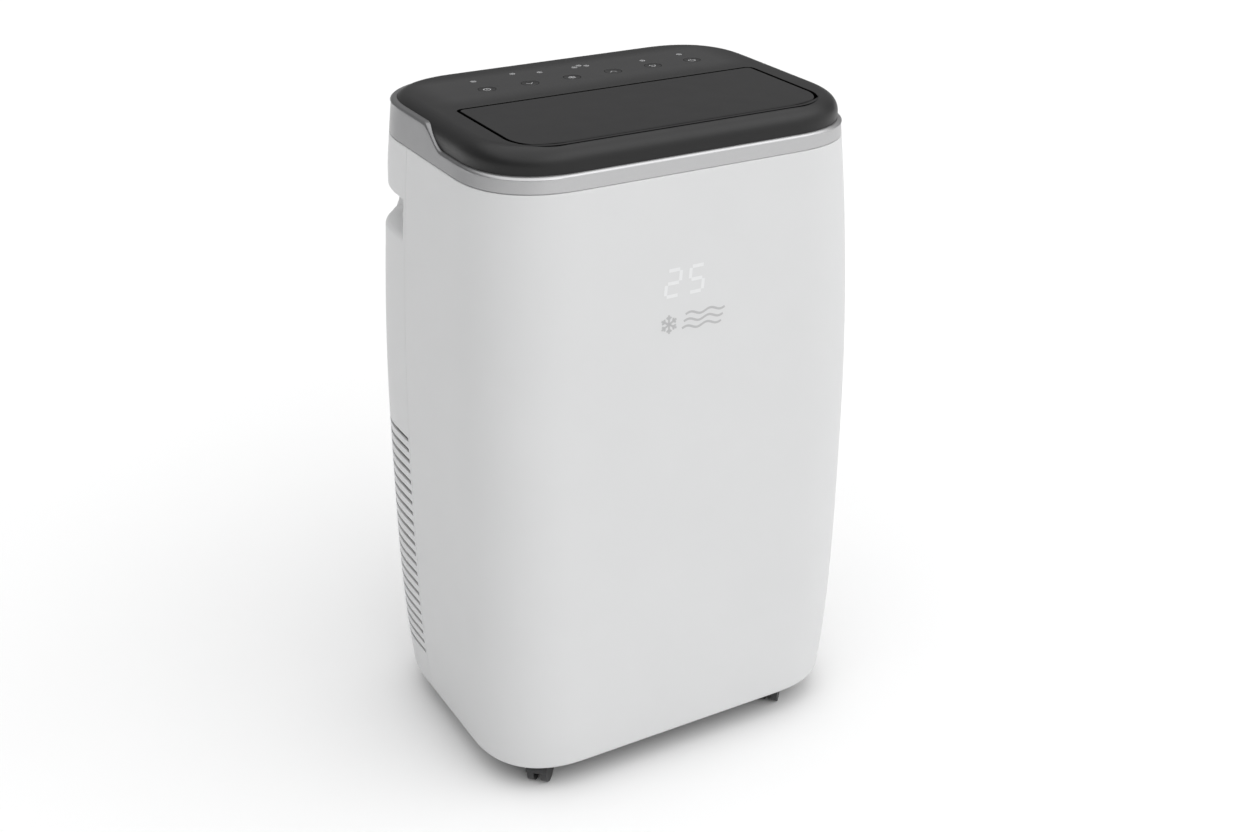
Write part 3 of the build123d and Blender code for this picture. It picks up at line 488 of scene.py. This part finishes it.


# the silver is painted lighter on the front and darker on the sides and the back: a painted highlight on the
# front and painted shade on the sides and the back
silver_paint = Finish("silver_paint", Metallic=0.85, Coat_Weight=0.2)
flake = silver_paint.noise(4200.0, 1.0)
lit_front_tone = silver_paint.blend(flake, (0.44, 0.44, 0.445), (0.54, 0.54, 0.545))
shaded_side_tone = silver_paint.blend(flake, (0.20, 0.20, 0.205), (0.29, 0.29, 0.295))
silver_paint.feed(
    Base_Color=silver_paint.node(
        "ShaderNodeMix", {"data_type": "RGBA"},
        {"Factor": ease(silver_paint, "Y", -0.150, -0.070), 6: lit_front_tone, 7: shaded_side_tone}, 2,
    )
)
silver_paint.feed(Roughness=silver_paint.spread(silver_paint.noise(60.0), 0.30, 0.40))
silver_paint.grain(flake, 0.00001)

TRIM_LOW, TRIM_HIGH = 0.671, 0.689
RAMP_START, RAMP_END = -0.038, 0.010
TOP = 0.6945
COVER_X, COVER_Y, COVER_CORNER, COVER_EDGE = 0.199, 0.148, 0.0875, 0.017
LIP_ROLL = 0.0034

ring_front = Plan(-1, 0.0, 40, 30, 40)
ring_back = Plan(1, 0.0, 40, 30, 40)
half_count = len(ring_front.stations) - 1
ring_count = 2 * half_count


def ring_point(column, half_x, half_y, corner):
    """A point of a closed outline of the top, from the front and back plans in turn."""
    column = column % ring_count
    if column < half_count:
        return ring_front.at(column, half_x, half_y, corner)
    return ring_back.at(column - half_count, half_x, half_y, corner)


def cover_inset(z):
    """How far the cover's rounded edge has drawn in at height z."""
    rise = max(z - (TOP - COVER_EDGE), 0.0)
    return COVER_EDGE - (COVER_EDGE**2 - min(rise, COVER_EDGE) ** 2) ** 0.5


def trim_shape(column, row):
    y = ring_point(column, HALF_WIDTH - barrel_inset(0.675), HALF_DEPTH, CORNER)[1]
    top = TRIM_LOW + (TRIM_HIGH - TRIM_LOW) * smooth_step((y - RAMP_START) / (RAMP_END - RAMP_START))
    bottom = CASE_TOP + 0.0003
    shoulder = top - LIP_ROLL
    lip = cover_inset(top) + 0.0004
    if row in (0, 20):  # inside foot, where the section closes
        return (*ring_point(column, COVER_X - 0.001, COVER_Y - 0.001, COVER_CORNER), bottom)
    if row <= 9:  # outer face with a small broken edge at its foot
        z = bottom + (shoulder - bottom) * max(row - 2, 0) / 7 + (0.0005 if row == 2 else 0.0)
        k = barrel_inset(z) + (0.0006 if row == 1 else 0.0)
        half_x, half_y, corner = HALF_WIDTH - k, HALF_DEPTH - k / 2, CORNER
    elif row <= 16:  # rolled lip
        turn = (row - 9) / 7 * pi / 2
        z = shoulder + LIP_ROLL * sin(turn)
        k = barrel_inset(z) + LIP_ROLL * (1 - cos(turn))
        half_x, corner = HALF_WIDTH - k, CORNER - LIP_ROLL
        half_y = HALF_DEPTH - barrel_inset(z) / 2 - LIP_ROLL * (1 - cos(turn))
    else:  # back down between the lip and the cover
        z = top - (0.0, 0.0007, 0.006)[row - 17]
        k = lip + (0.0, 0.0006, 0.0008)[row - 17]
        half_x, half_y, corner = COVER_X - k + 0.0006, COVER_Y - k + 0.0006, COVER_CORNER - k
    return (*ring_point(column, half_x, half_y, corner), z)


trim = grid_mesh("trim_band", ring_count, 20, trim_shape, closed=True)
settle(trim, silver_paint, "casing", "trim_ring")

# ---------------------------------------------------------------- top cover
# One soft-black moulding with a generous rolled edge. It carries the opening of the air outlet at
# the front, and at the back six round key holes and small windows for the indicator lights.

cover_black = moulded_plastic(
    "cover_black", (0.0070, 0.0069, 0.0072), (0.0095, 0.0093, 0.0098), 0.40, 1500.0, 0.00003, IOR=1.45
)
key_black = moulded_plastic(
    "key_black", (0.0085, 0.0084, 0.0088), (0.0115, 0.0113, 0.0118), 0.34, 1500.0, 0.00002, IOR=1.45
)


# the key panel is dished by a millimetre and painted a little lighter, a painted sheen for the light the
# dished panel catches, and the foot of the cover's rolled edge is painted darker than its face, as painted
# shade
dish = ease(cover_black, "Y", 0.020, 0.052) * (1.0 - ease(cover_black, "Y", 0.104, 0.128))
dish = dish * ease(cover_black, "X", -0.180, -0.146) * (1.0 - ease(cover_black, "X", 0.152, 0.186))
face = Tone(cover_black, cover_black.shader.inputs["Base Color"].links[0].from_socket)
# painted shade: the darker tone at the foot of the rolled edge
shaded_foot_tone = cover_black.blend(cover_black.noise(9.0, 4.0), (0.0022, 0.0022, 0.0023), (0.0030, 0.0030, 0.0031))
plain = cover_black.node(
    "ShaderNodeMix", {"data_type": "RGBA"},
    {"Factor": ease(cover_black, "Z", TOP - COVER_EDGE, TOP - 0.002), 6: shaded_foot_tone, 7: face}, 2,
)
# painted sheen: the lighter tone of the dished key panel
painted_panel_sheen = cover_black.blend(cover_black.noise(9.0, 4.0), (0.0235, 0.0235, 0.024), (0.0285, 0.0285, 0.029))
cover_black.feed(
    Base_Color=cover_black.node(
        "ShaderNodeMix", {"data_type": "RGBA"}, {"Factor": dish, 6: plain, 7: painted_panel_sheen}, 2
    )
)
cover_black.grain(0.03 * cover_black.noise(1500.0, 2.0) - dish, 0.0011)

FLAP_X, FLAP_FRONT, FLAP_REAR = 0.164, -0.132, 0.010
FLAP_GAP, FLAP_RADII = 0.002, (0.006, 0.006, 0.038, 0.038)
GROOVE_EASE = 0.0008  # how far flap and opening each stand back from the groove's near-black strips of painted shade
KEY_Y, KEY_R, KEY_FIT = 0.064, 0.0088, 0.0003
KEY_X = [-0.108 + 0.0472 * i for i in range(6)]
LIGHTS = [
    (-0.108, 0.096), (-0.061, 0.104), (-0.034, 0.096), (0.006, 0.096),
    (0.013, 0.100), (0.020, 0.096), (0.081, 0.086), (0.128, 0.090),
]


def flap_outline(grow):
    radii = tuple(radius + grow for radius in FLAP_RADII)
    middle, half = (FLAP_FRONT + FLAP_REAR) / 2, (FLAP_REAR - FLAP_FRONT) / 2
    return soft_rectangle(0.0, middle, FLAP_X + grow, half + grow, radii, 14)


def skirt(shape, loops):
    """Walls between loops of (outline, height) with equal counts; gives the end loops' edges."""
    rings = [[shape.verts.new((x, y, z)) for x, y in outline] for outline, z in loops]
    count = len(rings[0])
    for upper, lower in zip(rings, rings[1:]):
        for i in range(count):
            j = (i + 1) % count
            shape.faces.new((upper[i], upper[j], lower[j], lower[i]))
    ends = []
    for ring in (rings[0], rings[-1]):
        ends.append([shape.edges.get((ring[i], ring[(i + 1) % count])) for i in range(count)])
    return ends


def rim(outline, edge, depth):
    """Loops of a hole's softened rim: a flat margin, a rounded edge and a straight wall."""
    return [
        (outline(2 * edge), TOP),
        (outline(edge), TOP),
        (outline(0.3 * edge), TOP - 0.3 * edge),
        (outline(0.0), TOP - edge),
        (outline(0.0), TOP - depth),
    ]


def cover_outline(inset):
    return [
        ring_point(i, COVER_X - inset, COVER_Y - inset, COVER_CORNER - inset) for i in range(ring_count)
    ]


COVER_FOOT, EDGE_FOOT = CASE_TOP + 0.0010, TOP - COVER_EDGE
cover = bmesh.new()
band = [(cover_outline(0.0022), CASE_TOP + 0.0005), (cover_outline(0.0), COVER_FOOT)]
for i in range(4):
    band.append((cover_outline(0.0), COVER_FOOT + (EDGE_FOOT - COVER_FOOT) * (i + 1) / 4))
for i in range(1, 19):
    turn = i / 18 * pi / 2
    band.append((cover_outline(COVER_EDGE * (1 - cos(turn))), TOP - COVER_EDGE * (1 - sin(turn))))
band.append((cover_outline(COVER_EDGE + 0.0012), TOP))
fill_edges = skirt(cover, band)[1]
outlet = rim(lambda grow: flap_outline(FLAP_GAP + GROOVE_EASE + grow), 0.0003, 0.006)
fill_edges += skirt(cover, outlet)[0]
for x in KEY_X:
    key_hole = rim(lambda grow: round_outline(x, KEY_Y, KEY_R + KEY_FIT + grow, 48), 0.0004, 0.006)
    fill_edges += skirt(cover, key_hole)[0]
for x, y in LIGHTS:
    fill_edges += skirt(cover, rim(lambda grow: round_outline(x, y, 0.0016 + grow, 16), 0.0002, 0.004))[0]
bmesh.ops.triangle_fill(cover, use_beauty=True, use_dissolve=False, edges=fill_edges, normal=(0, 0, 1))
bmesh.ops.recalc_face_normals(cover, faces=cover.faces)
top_piece = finished_mesh("top_moulding", cover)
settle(top_piece, cover_black, "casing", "top_cover")

# ---------------------------------------------------------------- outlet flap
# The flap closes the air outlet flush with the top. It is a ribbed black plate, hinged on two pins
# at its rear edge, that a small geared motor swings up from the front. Near-black strips without
# reflection run round it and round the opening: painted shade that darkens the groove between them.

HINGE_Y, HINGE_Z = 0.005, 0.6906
FLAP_T, RIB_DEPTH, KNUCKLE_X = 0.0030, 0.003, 0.1536


def bar(shape, radius, start, end, steps=24):
    """Adds a closed round bar between two points to a bmesh."""
    start, end = Vector(start), Vector(end)
    aim = (end - start).to_track_quat("Z", "Y").to_matrix().to_4x4()
    bmesh.ops.create_cone(
        shape, cap_ends=True, segments=steps, radius1=radius, radius2=radius, depth=(end - start).length,
        matrix=Matrix.Translation((start + end) / 2) @ aim,
    )


flap = bmesh.new()
edge = 0.0003
plate = [
    (flap_outline(-GROOVE_EASE - 2 * edge), TOP),
    (flap_outline(-GROOVE_EASE - edge), TOP),
    (flap_outline(-GROOVE_EASE - 0.3 * edge), TOP - 0.3 * edge),
    (flap_outline(-GROOVE_EASE), TOP - edge),
    (flap_outline(-GROOVE_EASE), TOP - FLAP_T),
    (flap_outline(-0.002), TOP - FLAP_T),
]
for loop_edges in skirt(flap, plate):
    bmesh.ops.triangle_fill(flap, use_beauty=True, use_dissolve=False, edges=loop_edges, normal=(0, 0, 1))
for x in (-0.090, 0.0, 0.090):
    rib = soft_rectangle(x, -0.066, 0.001, 0.052, 0.0009, 3)
    prism(flap, rib, "z", TOP - FLAP_T - RIB_DEPTH, TOP - FLAP_T + 0.0002)
for side in (-1, 1):
    root = (side * KNUCKLE_X, HINGE_Y, HINGE_Z)
    bar(flap, 0.0034, root, (side * (KNUCKLE_X + 0.0040), HINGE_Y, HINGE_Z), 32)
    bar(flap, 0.0015, root, (side * (KNUCKLE_X + 0.0108), HINGE_Y, HINGE_Z))
bmesh.ops.recalc_face_normals(flap, faces=flap.faces)
settle(finished_mesh("flap_plate", flap), cover_black, "flap", "outlet_flap")

# a near-black finish without reflection: painted shade for the dark of the groove round the flap
groove_shade_finish = Finish("groove_shade_finish", Specular_IOR_Level=0.0)
groove_shade_finish.feed(Base_Color=groove_shade_finish.spread(groove_shade_finish.noise(300.0), 0.0012, 0.0020))
groove_shade_finish.feed(Roughness=groove_shade_finish.spread(groove_shade_finish.noise(80.0), 0.85, 0.95))
for name, body, inner, outer, foot in (
    ("flap_groove_shade", "flap", -GROOVE_EASE - 0.0004, 0.0002, FLAP_T),
    ("opening_groove_shade", "casing", FLAP_GAP, FLAP_GAP + GROOVE_EASE + 0.0004, 0.006),
):
    strip = bmesh.new()
    inside, outside, start = flap_outline(inner), flap_outline(outer), TOP - 0.0003
    loops = [(inside, start), (outside, start), (outside, TOP - foot), (inside, TOP - foot), (inside, start)]
    skirt(strip, loops)
    bmesh.ops.remove_doubles(strip, verts=strip.verts, dist=0.00001)
    bmesh.ops.recalc_face_normals(strip, faces=strip.faces)
    settle(finished_mesh(name, strip), groove_shade_finish, body)

# ---------------------------------------------------------------- keys and lights
# Six round keys stand flush in the cover over dome switches. Each has a shallow finger dish and a
# printed pictogram. Clear light guides beside them end flush with the cover.

print_grey = Finish("print_grey", Roughness=0.55)
print_grey.feed(Base_Color=print_grey.blend(print_grey.noise(2500.0), (0.50, 0.50, 0.51), (0.62, 0.62, 0.63)))
light_guide = Finish("light_guide", Roughness=0.25, Emission_Strength=0.05)
light_guide.feed(
    Base_Color=light_guide.blend(light_guide.noise(900.0), (0.22, 0.225, 0.23), (0.30, 0.305, 0.31))
)


def lathe(shape, profile, place, steps=48):
    """Spins an open (radius, height) profile about Z and carries the result to its place."""
    turned = bmesh.new()
    points = [turned.verts.new((radius, 0.0, height)) for radius, height in profile]
    for first, second in zip(points, points[1:]):
        turned.edges.new((first, second))
    bmesh.ops.spin(
        turned, geom=turned.verts[:] + turned.edges[:], cent=(0, 0, 0), axis=(0, 0, 1), angle=2 * pi,
        steps=steps, use_merge=True,
    )
    bmesh.ops.remove_doubles(turned, verts=turned.verts, dist=1e-6)
    bmesh.ops.recalc_face_normals(turned, faces=turned.faces)
    bmesh.ops.transform(turned, matrix=place, verts=turned.verts)
    made = bpy.data.meshes.new("turned")
    turned.to_mesh(made)
    turned.free()
    shape.from_mesh(made)
    bpy.data.meshes.remove(made)


def stroke(shape, points, width, height):
    """A flat printed line of even width through (x, y) points, a little above the face."""
    sides = []
    for i, (x, y) in enumerate(points):
        before, after = points[max(i - 1, 0)], points[min(i + 1, len(points) - 1)]
        across = Vector((before[1] - after[1], after[0] - before[0])).normalized() * width / 2
        sides.append((shape.verts.new((x + across.x, y + across.y, height)),
                      shape.verts.new((x - across.x, y - across.y, height))))
    for (left_a, right_a), (left_b, right_b) in zip(sides, sides[1:]):
        shape.faces.new((left_a, right_a, right_b, left_b))


def arc(x, y, radius, start, end, steps=20):
    """Points of a circular arc between two angles in degrees."""
    return [
        (x + radius * cos(radians(start + (end - start) * i / steps)),
         y + radius * sin(radians(start + (end - start) * i / steps)))
        for i in range(steps + 1)
    ]


def snowflake(x, y, radius):
    """Lines of a six-armed snowflake with one pair of barbs on each arm."""
    lines = []
    for arm in range(6):
        turn = arm * pi / 3 + pi / 6
        tip = (x + radius * cos(turn), y + radius * sin(turn))
        lines.append([(x, y), tip])
        for lean in (-0.55, 0.55):
            root_x, root_y = x + 0.55 * radius * cos(turn), y + 0.55 * radius * sin(turn)
            barb, aim = 0.36 * radius, turn + lean * 1.6
            lines.append([(root_x, root_y), (root_x + barb * cos(aim), root_y + barb * sin(aim))])
    return lines


def key_pictograms(x, y):
    """The six printed signs: timer, lower, mode, higher, fan and power."""
    r = 0.0035
    dial = [arc(x, y, r, 0, 360, 32), [(x, y), (x, y + 0.7 * r)], [(x, y), (x + 0.5 * r, y)]]
    lower = [[(x - r, y + 0.4 * r), (x, y - 0.6 * r), (x + r, y + 0.4 * r)]]
    higher = [[(x - r, y - 0.4 * r), (x, y + 0.6 * r), (x + r, y - 0.4 * r)]]
    fan = []
    for a in (0.5, 2.6, 4.7):
        blade_x, blade_y, heading = x + 0.5 * r * cos(a), y + 0.5 * r * sin(a), 57.3 * a
        fan.append(arc(blade_x, blade_y, 0.5 * r, heading - 150, heading + 40))
    power = [arc(x, y, r, 125, 415, 28), [(x, y + 0.2 * r), (x, y + 1.25 * r)]]
    return [dial, lower, snowflake(x, y, 1.15 * r), higher, fan, power]


for number, x in enumerate(KEY_X, 1):
    key = bmesh.new()
    dish = [(0.0, -0.00060), (0.0040, -0.00052), (0.0066, -0.00028), (0.0076, -0.00010), (0.0081, -0.00006)]
    side = [(0.0086, -0.00022), (KEY_R, -0.0006), (KEY_R, -0.0030)]
    flange = [(KEY_R + 0.002, -0.0034), (KEY_R + 0.002, -0.0066), (0.0, -0.0066)]
    lathe(key, dish + side + flange, Matrix.Translation((x, KEY_Y, TOP)), 64)
    settle(finished_mesh(f"key_{number}", key), key_black, f"button_{number}", f"button_{number}")
    sign = bmesh.new()
    for line in key_pictograms(x, KEY_Y)[number - 1]:
        stroke(sign, line, 0.00078, TOP - 0.00040)
    settle(finished_mesh(f"key_sign_{number}", sign), print_grey, f"button_{number}")

rings = bmesh.new()
for x, y in LIGHTS:
    stroke(rings, arc(x, y, 0.00255, 0, 360, 24), 0.0006, TOP + 0.00004)
settle(finished_mesh("light_rings", rings), print_grey, "casing")

# ---------------------------------------------------------------- front display and mark
# A seven-segment display shines through the thinned front wall and shows two digits when it is on.
# Below it a small generic air mark is pad-printed in grey.

lit_segment = Finish("lit_segment", Roughness=0.42, Emission_Strength=0.012)
haze = lit_segment.noise(300.0)
lit_segment.feed(Base_Color=lit_segment.blend(haze, (0.67, 0.675, 0.68), (0.71, 0.715, 0.72)))
lit_segment.feed(Emission_Color=lit_segment.blend(haze, (0.9, 0.95, 1.0), (1.0, 1.0, 1.0)))
pad_print = Finish("pad_print", Roughness=0.45)
pad_print.feed(Base_Color=pad_print.blend(pad_print.noise(1200.0), (0.40, 0.40, 0.405), (0.46, 0.46, 0.465)))


def lay_on_front(shape, lift):
    """Carries flat (x, height) drawing points on to the front's curve, a hair above it."""
    for vert in shape.verts:
        x, z = vert.co.x, vert.co.y
        vert.co = (x, -back_wall(z) - lift, z)
    bmesh.ops.recalc_face_normals(shape, faces=shape.faces)


SEGMENTS = {  # ends of each segment on a digit one unit wide and two high
    "a": ((0, 2), (1, 2)), "b": ((1, 2), (1, 1)), "c": ((1, 1), (1, 0)), "d": ((0, 0), (1, 0)),
    "e": ((0, 1), (0, 0)), "f": ((0, 2), (0, 1)), "g": ((0, 1), (1, 1)),
}
DIGITS = {-0.0330: "abged", -0.0072: "afgcd"}
DIGIT_FOOT, DIGIT_W, DIGIT_H, DIGIT_LEAN = 0.5372, 0.0150, 0.0127, 0.12
digits = bmesh.new()
for digit_x, lit in DIGITS.items():
    for name in lit:
        (u0, v0), (u1, v1) = SEGMENTS[name]
        ends = []
        for u, v, towards in ((u0, v0, 1), (u1, v1, -1)):
            u += towards * 0.10 * (u1 - u0)
            v += towards * 0.10 * (v1 - v0)
            ends.append((digit_x + DIGIT_W * u + DIGIT_LEAN * DIGIT_H * v, DIGIT_FOOT + DIGIT_H * v))
        middle = ((ends[0][0] + ends[1][0]) / 2, (ends[0][1] + ends[1][1]) / 2)
        stroke(digits, [ends[0], middle, ends[1]], 0.0034, 0.0)
lay_on_front(digits, 0.00005)
settle(finished_mesh("display_digits", digits), lit_segment, "casing")

MARK_Z = 0.509
mark = bmesh.new()
for line in snowflake(-0.029, MARK_Z, 0.0095):
    stroke(mark, line, 0.0021, 0.0)
for i in range(3):
    height = MARK_Z + (i - 1) * 0.0068
    wave = [(-0.0145 + 0.0022 * j + 0.002 * i, height + 0.0017 * sin(0.62 * j)) for j in range(21)]
    stroke(mark, wave, 0.0023, 0.0)
lay_on_front(mark, 0.00007)
settle(finished_mesh("air_mark", mark), pad_print, "casing")

# ---------------------------------------------------------------- hardware on the back
# The exhaust collar is a moulded ring that takes the hose, with a wire guard at its bottom. Two
# rubber stoppers close the drains, a gland holds the mains cord, and screws hold the shell.


def smooth_copy(node, finish, body):
    """A merged copy of a CAD piece that shades its curved faces smooth."""
    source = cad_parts[node]
    shape = bmesh.new()
    shape.from_mesh(source.data)
    bmesh.ops.transform(shape, matrix=source.matrix_world, verts=shape.verts)
    bmesh.ops.remove_doubles(shape, verts=shape.verts, dist=2e-6)
    bmesh.ops.dissolve_degenerate(shape, edges=shape.edges, dist=2e-6)
    for face in shape.faces:
        face.smooth = True
    for line in shape.edges:
        line.smooth = not (line.is_manifold and line.calc_face_angle(0.0) > radians(32))
    data = bpy.data.meshes.new(f"{node}_skin")
    shape.to_mesh(data)
    shape.free()
    piece = bpy.data.objects.new(f"{node}_skin", data)
    bpy.context.scene.collection.objects.link(piece)
    settle(piece, finish, body, node)


dark_plastic = moulded_plastic(
    "dark_plastic", (0.017, 0.017, 0.018), (0.027, 0.027, 0.028), 0.5, 1800.0, 0.00005
)
rubber = moulded_plastic("rubber", (0.010, 0.010, 0.010), (0.017, 0.017, 0.017), 0.78, 2600.0, 0.00006)
screw_steel = Finish("screw_steel", Metallic=1.0)
turned = screw_steel.noise(2000.0)
screw_steel.feed(Base_Color=screw_steel.blend(turned, (0.30, 0.30, 0.31), (0.42, 0.42, 0.43)))
screw_steel.feed(Roughness=screw_steel.spread(screw_steel.noise(900.0), 0.32, 0.48))

smooth_copy("exhaust_collar", dark_plastic, "casing")
smooth_copy("cord_gland", dark_plastic, "casing")
smooth_copy("drain_plug_lower", rubber, "drain_plug_lower")
smooth_copy("drain_plug_upper", rubber, "drain_plug_upper")

for number, (x, z) in enumerate(SCREWS, 1):
    screw = bmesh.new()
    head = [(0.0, 0.0), (0.0016, -0.0001), (0.0027, -0.0006), (0.0031, -0.0014), (0.0031, -0.0026)]
    face = Matrix.Translation((x, back_wall(z) + 0.0006, z)) @ Matrix.Rotation(-pi / 2, 4, "X")
    lathe(screw, head, face, 32)
    settle(finished_mesh(f"screw_head_{number}", screw), screw_steel, "casing")

# ---------------------------------------------------------------- base and castors
# The unit stands on a moulded base pan. Four twin-wheel furniture castors in black nylon turn on
# steel stems pressed into its bosses, each with a hood over its two wheels.

castor_black = moulded_plastic(
    "castor_black", (0.016, 0.016, 0.017), (0.024, 0.024, 0.025), 0.42, 1600.0, 0.00004
)
smooth_copy("base_pan", dark_plastic, "casing")
for number in range(1, 5):
    smooth_copy(f"castor_housing_{number}", castor_black, f"castor_{number}")
    smooth_copy(f"castor_wheel_{number}", castor_black, f"wheels_{number}")

# ---------------------------------------------------------------- outlet duct, vanes and blowers
# Under the flap a moulded duct carries the cold air up between six linked vanes. Both blowers are
# squirrel-cage wheels in scroll housings, the lower one of black foam, and their motors are steel.

smooth_copy("outlet_duct", dark_plastic, "casing")
smooth_copy("vane_link", dark_plastic, "vane_link")
for number in range(1, 7):
    smooth_copy(f"swing_vane_{number}", dark_plastic, f"swing_vane_{number}")
for fan in ("lower_fan", "upper_fan"):
    smooth_copy(fan, dark_plastic, fan)

foam = moulded_plastic("foam", (0.030, 0.030, 0.031), (0.060, 0.060, 0.062), 0.85, 420.0, 0.00025)
painted_steel = moulded_plastic(
    "painted_steel", (0.012, 0.012, 0.013), (0.020, 0.020, 0.021), 0.35, 800.0, 0.00003
)
zinc = Finish("zinc", Metallic=0.9)
spangle = zinc.noise(95.0, 4.0)
zinc.feed(Base_Color=zinc.blend(spangle, (0.36, 0.37, 0.38), (0.58, 0.59, 0.60)))
zinc.feed(Roughness=zinc.spread(spangle, 0.30, 0.52))
copper = Finish("copper", Metallic=1.0)
tarnish = copper.noise(45.0, 3.0)
copper.feed(Base_Color=copper.blend(tarnish, (0.42, 0.17, 0.08), (0.72, 0.33, 0.18)))
copper.feed(Roughness=copper.spread(tarnish, 0.24, 0.45))
board_green = Finish("board_green", Roughness=0.4)
tracks = board_green.noise(180.0, 3.0)
board_green.feed(Base_Color=board_green.blend(tracks, (0.012, 0.060, 0.025), (0.02, 0.10, 0.04)))
# the dark bands between the bright fin edges are painted shade in the gaps between the fins
fins = Finish("fins", Metallic=0.9, Roughness=0.42)
fin_edges_and_gap_shade = fins.node(
    "ShaderNodeTexWave", {"wave_type": "BANDS", "bands_direction": "X"},
    {"Vector": fins.node("ShaderNodeTexCoord", output="Object"), "Scale": 160.0}, output=1,
)
fins.feed(Base_Color=fins.blend(fin_edges_and_gap_shade, (0.09, 0.09, 0.095), (0.62, 0.63, 0.64)))
fins.grain(fin_edges_and_gap_shade, 0.0004)

INSIDE = [
    (foam, ("lower_blower",)),
    (dark_plastic, ("upper_blower", "deck_tray", "electrical_box")),
    (painted_steel, ("compressor",)),
    (rubber, ("compressor_mounts",)),
    (zinc, ("chassis_posts", "lower_fan_motor", "upper_fan_motor", "casing_screws")),
    (copper, ("refrigerant_pipes",)),
    (board_green, ("control_board", "display_board")),
    (fins, ("evaporator", "condenser")),
    (dark_plastic, ("flap_motor", "lower_filter", "upper_filter")),
    (light_guide, ("indicator_lights",)),
]
for finish, nodes in INSIDE:
    for node in nodes:
        for material_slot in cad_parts[node].material_slots:
            material_slot.material = finish.material

# ---------------------------------------------------------------- studio
# A pale sweep of paper under a broad soft light from above and a weaker one from the front right,
# in an even pale surround.

paper = Finish("paper", Roughness=0.9)
paper.feed(Base_Color=paper.blend(paper.noise(3.0), (0.87, 0.87, 0.87), (0.885, 0.885, 0.885)))
sweep = bmesh.new()
bmesh.ops.create_grid(sweep, x_segments=8, y_segments=8, size=60.0)
floor = finished_mesh("floor", sweep)
floor.data.materials.append(paper.material)

world = bpy.data.worlds.new("surround")
world.use_nodes = True
surround = world.node_tree.nodes["Background"]
surround.inputs["Color"].default_value = (1.0, 1.0, 1.0, 1.0)
sight = world.node_tree.nodes.new("ShaderNodeLightPath")
level = world.node_tree.nodes.new("ShaderNodeMapRange")  # dim as a light, plain white where it is seen
level.inputs["To Min"].default_value = 0.28
world.node_tree.links.new(sight.outputs["Is Camera Ray"], level.inputs["Value"])
world.node_tree.links.new(level.outputs["Result"], surround.inputs["Strength"])
bpy.context.scene.world = world


def soft_light(name, aim, spread, strength):
    """A broad, even lamp that shines along aim over the whole stage."""
    data = bpy.data.lights.new(name, "SUN")
    data.angle = radians(spread)
    data.energy = strength
    lamp = bpy.data.objects.new(name, data)
    lamp.rotation_euler = Vector(aim).to_track_quat("-Z", "Y").to_euler()
    bpy.context.scene.collection.objects.link(lamp)


soft_light("overhead", (0.0, 0.2, -1.0), 110.0, 2.5)
soft_light("front_right", (-0.55, 0.8, -0.2), 100.0, 1.32)
bpy.context.scene.view_settings.view_transform = "Standard"

CAMERA_AT = (-0.78066, -1.39754, 1.12881)
CAMERA_TURN, CAMERA_DROP, CAMERA_ROLL = radians(29.53), radians(26.30), radians(0.10)
camera_data = bpy.data.cameras.new("camera")
camera_data.sensor_width = 36.0
camera_data.lens = 47.85
camera = bpy.data.objects.new("camera", camera_data)
camera.location = CAMERA_AT
camera.rotation_euler = (
    Matrix.Rotation(-CAMERA_TURN, 3, "Z") @ Matrix.Rotation(pi / 2 - CAMERA_DROP, 3, "X")
    @ Matrix.Rotation(CAMERA_ROLL, 3, "Z")
).to_euler()
bpy.context.scene.collection.objects.link(camera)
bpy.context.scene.camera = camera
